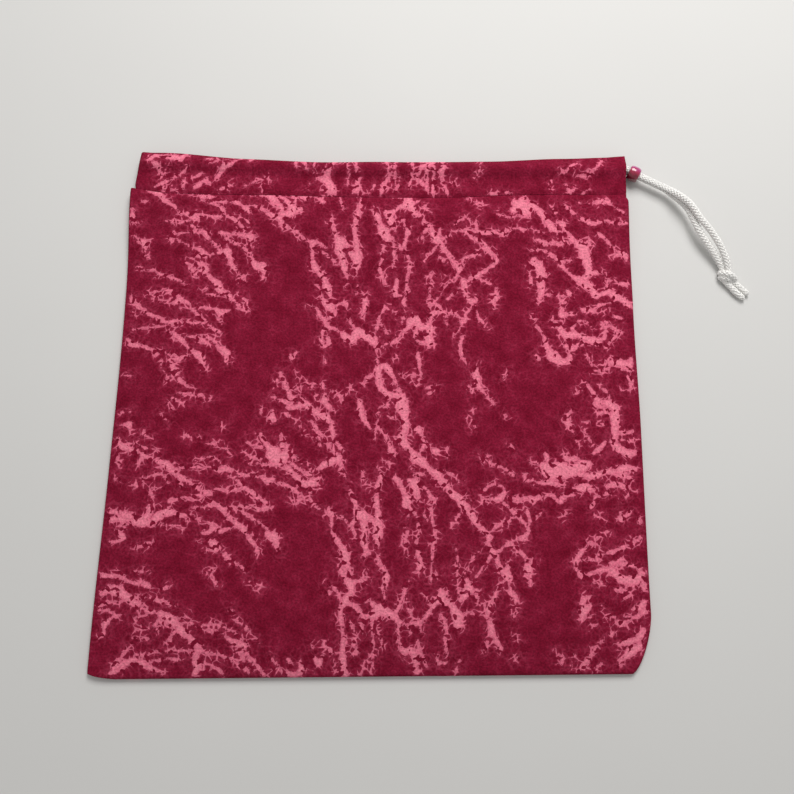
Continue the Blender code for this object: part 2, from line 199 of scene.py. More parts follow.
# the cloth bag, with the same driving sizes as the CAD solids
bag = {
    "width": 0.300,
    "bodyHeight": 0.2765,
    "casingHeight": 0.0230,
    "cloth": 0.0006,
    "layerGap": 0.0003,
    "seamAllowance": 0.008,
    "edgeThickness": 0.0033,
    "loft": 0.0082,
    "loftReach": 0.045,
    "mouthBlend": 0.060,
    "mouthFlat": 0.009,
    "mouthSag": 0.0055,
    "leftBow": 0.0025,
    "rightBow": 0.0015,
    "leftCorner": (0.016, 0.003),
    "rightCorner": (0.012, 0.031),
    "cornerPower": 1.5,
    "casingEndInset": 0.0025,
    "foldInsetSeam": 0.0040,
    "foldInsetTop": 0.0065,
    "mouthGapEnd": 0.0004,
    "mouthGapMiddle": 0.0054,
    "cordUpCasing": 0.0160,
    "ridgeReach": 0.0075,
    "channelStart": 0.0015,
    "channelRise": 0.0005,
    "heldDiameter": 0.0030,
    "cordClearance": 0.0002,
    # how finely the cloth is drawn
    "columns": 250,  # points across the front, an even number
    "rows": 230,
    "edgePoints": 8,
    "bottomSteps": 5,
    "foldSteps": 8,
    "sleeveSteps": 20,
    "channelSteps": 8,
    "turnSteps": 10,  # round the left fold of the casing
    "seamRows": (0.0009, 0.0005, 0.0),  # closer rows where the body's cloth rounds in at the casing
    "sleeveRows": (0.0011, 0.0007),  # and where the sleeve's does
    "insideLevels": (1.0, 0.985, 0.95, 0.88, 0.8, 0.7, 0.5, 0.3, 0.15, 0.06, 0.03),
    "sharpAngle": 60,
    # the soft relief of the cloth
    "seamDip": 0.0007,  # how deep the cloth rounds in at the casing's seam
    "backDipShare": 0.6,
    "seamRound": 0.0016,
    "ripple": 0.00030,  # height of the soft unevenness over the panel
    "rippleSize": 0.055,
    "fineShare": 0.45,
    "fineSize": 0.021,
    "pucker": 0.00028,  # height of the gathers beside the seams
    "puckerSize": 0.0085,
    "puckerReach": 0.009,
    "topPuckerSize": 0.0100,
    "topPuckerReach": 0.011,
    "calmEdge": 0.004,  # the relief dies away this close to the bottom and the right seam
    "calmFold": 0.006,
    "sleeveRun": 0.29,  # length of the casing along one panel
    "sleeveRipple": 0.00022,
    "sleeveRippleSize": 0.024,
    "gather": 0.00030,  # height of the gathers just above the casing's seam
    "gatherSize": 0.011,
    "gatherUp": 0.004,
    "gatherReach": 0.008,
    # how the soft cloth lies off its cut shape: place along the edge, then how far in
    "seamDrop": [(-0.150, 0.0006), (-0.122, 0.0032), (-0.098, 0.0032), (-0.050, 0.0021), (0.030, 0.0019),
                 (0.085, 0.0004), (0.150, 0.0003)],
    "topDrop": [(-0.130, 0.0), (-0.080, 0.0026), (-0.040, 0.0031), (0.003, 0.0020), (0.066, 0.0017),
                (0.108, 0.0), (0.148, -0.0016)],
    "seamDropReach": 0.012,  # the seam's drop is gone this far up the casing
    "topDropStart": 0.0175,  # the top edge's drop starts here and is full after its reach
    "topDropReach": 0.0055,
    "leftDraw": [(0.40, 0.0), (0.85, 0.0024), (1.0, 0.0018)],
    "rightDraw": [(0.10, 0.0), (0.50, -0.0014), (0.75, 0.0), (0.92, 0.0012), (0.984, 0.0010),
                  (1.0, 0.0028)],
    "bottomTilt": 0.018,
}
halfWidth = bag["width"] / 2
bottomY = -(bag["bodyHeight"] + bag["casingHeight"]) / 2
seamY = bottomY + bag["bodyHeight"]
tongue = 2 * bag["cloth"]
seamN = tongue + bag["layerGap"] + bag["cloth"]
ridgeN = 2 * bag["cloth"] + 2 * bag["cordClearance"] + bag["heldDiameter"]
mouthMidZ = ridgeN + bag["mouthGapEnd"] / 2
mouthOpenHalf = halfWidth - bag["foldInsetTop"] - 1.5 * ridgeN


def follow(t, points):
    # a smooth line through given points
    for (t0, a), (t1, b) in zip(points, points[1:]):
        if t <= t1:
            return blend(a, b, smoothStep((t - t0) / (t1 - t0)))
    return points[-1][1]


def cornerCut(height, corner):
    reach, rise = corner
    if height >= rise:
        return 0.0
    share = 1 - max(0.0, height) / rise
    return reach * (1 - (1 - share ** bag["cornerPower"]) ** (1 / bag["cornerPower"]))


def seamLine(x):
    return seamY - bag["mouthSag"] * (1 - min(1.0, abs(x) / halfWidth) ** 2)


def leftEdge(v):
    bow = bag["leftBow"] * math.sin(math.pi * v) ** 2
    corner = cornerCut(v * bag["bodyHeight"], bag["leftCorner"])
    return -halfWidth + bow + follow(v, bag["leftDraw"]) + corner


def rightEdge(v):
    bow = bag["rightBow"] * math.sin(math.pi * v) ** 2
    corner = cornerCut(v * bag["bodyHeight"], bag["rightCorner"])
    return halfWidth - bow - follow(v, bag["rightDraw"]) - corner


def bodyY(x, v):
    top = seamLine(x) - follow(x, bag["seamDrop"])
    return bottomY + v * (top - bottomY) + bag["bottomTilt"] * x * (1 - v) ** 1.5


def mouthGap(x):
    share = min(1.0, abs(x) / mouthOpenHalf)
    return bag["mouthGapEnd"] + (bag["mouthGapMiddle"] - bag["mouthGapEnd"]) * (1 - share ** 4)


def mouthShare(v):
    below = (1 - v) * bag["bodyHeight"] - bag["mouthFlat"]
    return smoothStep(1 - below / (bag["mouthBlend"] - bag["mouthFlat"]))


def bodyBack(v):
    return blend(0.0, ridgeN - seamN, mouthShare(v))


def bodyFront(x, v):
    fromSide = min(x - leftEdge(v), rightEdge(v) - x) / bag["loftReach"]
    fromBottom = v * bag["bodyHeight"] / bag["loftReach"]
    swell = math.sqrt(smoothStep(fromSide) * smoothStep(fromBottom))
    lying = blend(bag["edgeThickness"], bag["loft"], swell)
    return blend(lying, ridgeN + mouthGap(x) + seamN, mouthShare(v))


def seamDip(distance):
    # how far the outer face rounds in, this far from the casing's seam
    return bag["seamDip"] * math.exp(-(distance / bag["seamRound"]) ** 2)


def clothRelief(x, y, v):
    # soft unevenness of the front panel, and small gathers beside its seams
    fine = bag["fineShare"] * wave(x, y, bag["fineSize"], 2)
    rise = bag["ripple"] * (wave(x, y, bag["rippleSize"], 1) + fine)
    fromBottom = v * bag["bodyHeight"]
    fromLeft, fromRight = x - leftEdge(v), rightEdge(v) - x
    fromTop = (1 - v) * bag["bodyHeight"]
    size, reach = bag["puckerSize"], bag["puckerReach"]
    rise += bag["pucker"] * math.exp(-fromBottom / reach) * wave(x, 0.2, size, 3)
    rise += bag["pucker"] * math.exp(-fromRight / reach) * wave(0.2, y, size, 4)
    size, reach = bag["topPuckerSize"], bag["topPuckerReach"]
    rise += bag["pucker"] * math.exp(-fromTop / reach) * wave(x, 0.4, size, 5)
    rise *= smoothStep(fromBottom / bag["calmEdge"])
    rise *= smoothStep(fromLeft / bag["calmFold"])
    return rise * smoothStep(fromRight / bag["calmEdge"])


def sideArc(centreX, reach, middleZ, half, side):
    points = []
    count = bag["edgePoints"]
    for i in range(count):
        angle = math.pi * (i + 1) / (count + 1)
        drop = math.cos(angle) * half
        points.append((centreX + side * reach * math.sin(angle), middleZ + (drop if side > 0 else -drop)))
    return points


def bodyRing(v, squash, inside):
    # one level of the body: front panel, right seam edge, back panel and left fold.
    # the back has half as many points as the front. each point comes with its place along the cloth
    inset = bag["cloth"] if inside else 0.0
    roundIn = bag["edgeThickness"] / 2
    lowX, highX = leftEdge(v) + roundIn, rightEdge(v) - roundIn
    xs = [blend(lowX, highX, i / bag["columns"]) for i in range(bag["columns"] + 1)]
    dip = 0.0 if inside else seamDip((1 - v) * bag["bodyHeight"])
    front = [(x, bodyFront(x, v) - inset - dip + clothRelief(x, bodyY(x, v), v)) for x in xs]
    back = [(x, bodyBack(v) + inset + dip * bag["backDipShare"]) for x in reversed(xs[::2])]
    ends = []
    for x, side in ((highX, 1), (lowX, -1)):
        low, high = bodyBack(v), bodyFront(x, v) - dip
        half = (high - low) / 2 - inset
        ends.append(sideArc(x, roundIn - inset, (low + high) / 2, half, side))
    ring = front + ends[0] + back + ends[1]
    onFront = [True] * (len(front) + bag["edgePoints"] // 2) + [False] * (len(back) + bag["edgePoints"])
    onFront += [True] * (len(ring) - len(onFront))
    points = []
    for (x, z), facing in zip(ring, onFront):
        point = Vector((x, bodyY(x, v), roundIn + (z - roundIn) * squash))
        points.append((point, x if facing else -2 * halfWidth - x))
    return points


def closeRing(bm, line, facingOut):
    # closes a ring of the body from front to back, with its two rounded edges
    n = bag["columns"]
    backStart = n + 1 + bag["edgePoints"]
    faces = [line[n:backStart + 1], line[backStart + n // 2:] + line[:1]]
    for k in range(0, n, 2):
        farBack = backStart + (n - k) // 2
        faces.append([line[k], line[k + 1], line[k + 2], line[farBack - 1], line[farBack]])
    for face in faces:
        bm.faces.new(face if facingOut else face[::-1])


def makeBody(material):
    height = bag["bodyHeight"]
    bottomRound = bag["edgeThickness"] / 2
    rings = []
    for step in range(1, bag["bottomSteps"] + 1):  # the rounded bottom edge
        angle = math.pi / 2 * step / bag["bottomSteps"]
        rings.append(bodyRing(bottomRound * (1 - math.cos(angle)) / height, math.sin(angle), False))
    tall = height - bottomRound
    for step in range(1, bag["rows"]):
        rings.append(bodyRing((bottomRound + tall * step / bag["rows"]) / height, 1.0, False))
    for below in bag["seamRows"]:
        rings.append(bodyRing(1 - below / height, 1.0, False))
    for v in bag["insideLevels"]:
        rings.append(bodyRing(v, 1.0, True))
    bm = bmesh.new()
    layer = bm.verts.layers.float_vector.new("cloth")
    grid = []
    for ring in rings:
        line = []
        for point, along in ring:
            vert = bm.verts.new(point)
            vert[layer] = (along, point.y, 0.0)
            line.append(vert)
        grid.append(line)
    for line, following in zip(grid, grid[1:]):
        for i in range(len(line)):
            bm.faces.new((line[i - 1], line[i], following[i], following[i - 1]))
    closeRing(bm, grid[0], False)
    closeRing(bm, grid[-1], True)
    return newPiece("flannelBody", meshFrom(bm, "flannelBody"), material)


def casingOutside(height):
    return seamN + (ridgeN - seamN) * bell((height - bag["cordUpCasing"]) / bag["ridgeReach"])


def foldLine(height):
    return -halfWidth + blend(bag["foldInsetSeam"], bag["foldInsetTop"], height / bag["casingHeight"])


def casingY(x, height):
    # the seam and the top edge hang a little, and the cloth stays put where the cord lies in it
    low = follow(x, bag["seamDrop"]) * (1 - smoothStep(height / bag["seamDropReach"]))
    high = follow(x, bag["topDrop"]) * smoothStep((height - bag["topDropStart"]) / bag["topDropReach"])
    return seamLine(x) + height - low - high


def casingPoint(along, height, n):
    # along runs 0 to 1 on the front from the open right end, 1 to 2 round the left fold, 2 to 3 on the back
    foldRadius = bag["mouthGapEnd"] / 2
    turnX = foldLine(height) + foldRadius + casingOutside(max(0.0, height))
    endX = halfWidth - bag["casingEndInset"]
    if along <= 1:
        x = blend(endX, turnX, along)
        z = ridgeN + mouthGap(x) + n
    elif along < 2:
        angle = (along - 1) * math.pi
        x = turnX - (foldRadius + n) * math.sin(angle)
        z = mouthMidZ + (foldRadius + n) * math.cos(angle)
    else:
        x = blend(turnX, endX, along - 2)
        z = ridgeN - n
    return Vector((x, casingY(x, height), z))


def casingSections():
    # height above the seam and distance out of the mouth, for the strip's outline and for the cord's channel
    cloth, start, cordAt = bag["cloth"], bag["channelStart"], bag["cordUpCasing"]
    topRound = cloth + bag["layerGap"]
    top = bag["casingHeight"] - topRound
    sleeve = casingOutside(top)
    outline = [(-bag["seamAllowance"], 0.0), (start, 0.0), (cordAt / 2, 0.0), (cordAt, 0.0), (top, 0.0)]
    for i in range(1, bag["foldSteps"]):
        angle = math.pi * i / bag["foldSteps"]
        outline.append((top + topRound * math.sin(angle), sleeve / 2 * (1 - math.cos(angle))))
    for i in range(bag["sleeveSteps"] + 1):
        height = blend(top, bag["seamRound"], i / bag["sleeveSteps"])
        outline.append((height, casingOutside(height) - seamDip(height)))
    for height in bag["sleeveRows"] + (bag["layerGap"],):
        outline.append((height, casingOutside(height) - seamDip(height)))
    outline += [(bag["layerGap"], tongue), (-bag["seamAllowance"], tongue)]
    channel = [(start, cloth), (cordAt, cloth), (top, cloth), (top + topRound - cloth, sleeve / 2)]
    for i in range(bag["channelSteps"] + 1):
        height = blend(top, start + bag["channelRise"], i / bag["channelSteps"])
        channel.append((height, casingOutside(height) - cloth))
    channel.append((start, seamN - cloth - seamDip(start)))
    return outline, channel


def casingStations():
    front = [i / bag["columns"] for i in range(bag["columns"] + 1)]
    turn = [1 + i / bag["turnSteps"] for i in range(1, bag["turnSteps"])]
    return front + turn + [2 + share for share in front]


def casingRelief(along, height):
    # soft unevenness of the sleeve, and small gathers just above its seam
    run = along * bag["sleeveRun"]
    rise = bag["sleeveRipple"] * wave(run, height, bag["sleeveRippleSize"], 6)
    gather = bag["gather"] * bell((height - bag["gatherUp"]) / bag["gatherReach"])
    return rise + gather * wave(run, 0.3, bag["gatherSize"], 7)


def makeCasing(material):
    outline, channel = casingSections()
    bm = bmesh.new()
    layer = bm.verts.layers.float_vector.new("cloth")
    ends = [], []
    for section in (outline, channel):
        grid = []
        for along in casingStations():
            side = 1 if along <= 1 else -1 if along >= 2 else 0  # front, back, or the fold between
            line = []
            for height, n in section:
                point = casingPoint(along, height, n)
                if n > tongue and section is outline:
                    point.z += casingRelief(along, height) * side
                vert = bm.verts.new(point)
                vert[layer] = (point.x if along <= 1.5 else -2 * halfWidth - point.x, point.y, 0.0)
                line.append(vert)
            grid.append(line)
        for line, following in zip(grid, grid[1:]):
            for i in range(len(line)):
                j = (i + 1) % len(line)
                bm.faces.new((line[i], line[j], following[j], following[i]))
        for end, line in zip(ends, (grid[0], grid[-1])):
            end += [bm.edges.get((line[i], line[i - 1])) for i in range(len(line))]
    for end in ends:
        bmesh.ops.triangle_fill(bm, edges=end, use_beauty=True)
    mesh = meshFrom(bm, "flannelCasing")
    mesh.set_sharp_from_angle(angle=math.radians(bag["sharpAngle"]))
    return newPiece("flannelCasing", mesh, material)


# the print: sizes in mm, noise scales per mm
ink = {
    "reach": 6.0,  # how far from a vein its field is kept
    "thinnest": 1.3,
    "rounding": 0.25,
    "ragged": 3.7,  # how strongly the edges break
    "edgeNoise": {"Scale": 0.23, "Detail": 2.3, "Roughness": 0.56},
    "speckNoise": {"Scale": 0.26, "Detail": 1.0, "Roughness": 0.5, "Distortion": 0.2},
    "speckRange": {"From Min": 0.59, "From Max": 0.65, "To Min": 0.0, "To Max": 3.0},
    "thread": 0.36,  # half width of the lace's threads beside a vein
    "laceFade": 0.24,  # how much thinner for each mm away
    "laceScale": 0.26,
    "laceSlope": 3.8,
    "laceSway": (7.0, 7.0, 0.0),
    "swayNoise": {"Scale": 0.12, "Detail": 1.6, "Roughness": 0.5},
    "laceBreak": 3.0,  # how strongly the net breaks up
    "breakNoise": {"Scale": 0.11, "Detail": 2.0, "Roughness": 0.6},
    "mottleNoise": {"Scale": 0.11, "Detail": 5.0, "Roughness": 0.6},
    "ground": ((0.34, "#740F28"), (0.66, "#881A36")),
    "crackNoise": {"Scale": 0.10, "Detail": 2.0, "Roughness": 0.5, "Distortion": 0.3},
    "crackRange": {"From Min": 0.004, "From Max": 0.034, "To Min": 1.0, "To Max": 0.0},
    "crackReach": {"From Min": -6.0, "From Max": -1.0, "To Min": 0.05, "To Max": 0.34},
    "crack": "#B23D5B",
    "rimRange": {"From Min": -1.3, "From Max": -0.03, "To Min": 0.0, "To Max": 0.26},
    "rim": "#BC4664",
    "pinkRange": {"From Min": -0.1, "From Max": 1.6},
    "pinks": ((0.0, "#C65673"), (0.35, "#E2708A"), (1.0, "#EE8299")),
    "printEdge": {"From Min": -0.04, "From Max": 0.08},
    "napNoise": {"Scale": 0.85, "Detail": 2.0, "Roughness": 0.6},
    "napRange": {"From Min": 0.35, "From Max": 0.65, "To Min": 0.76, "To Max": 1.24},
    "sheen": "#D9627F",
}
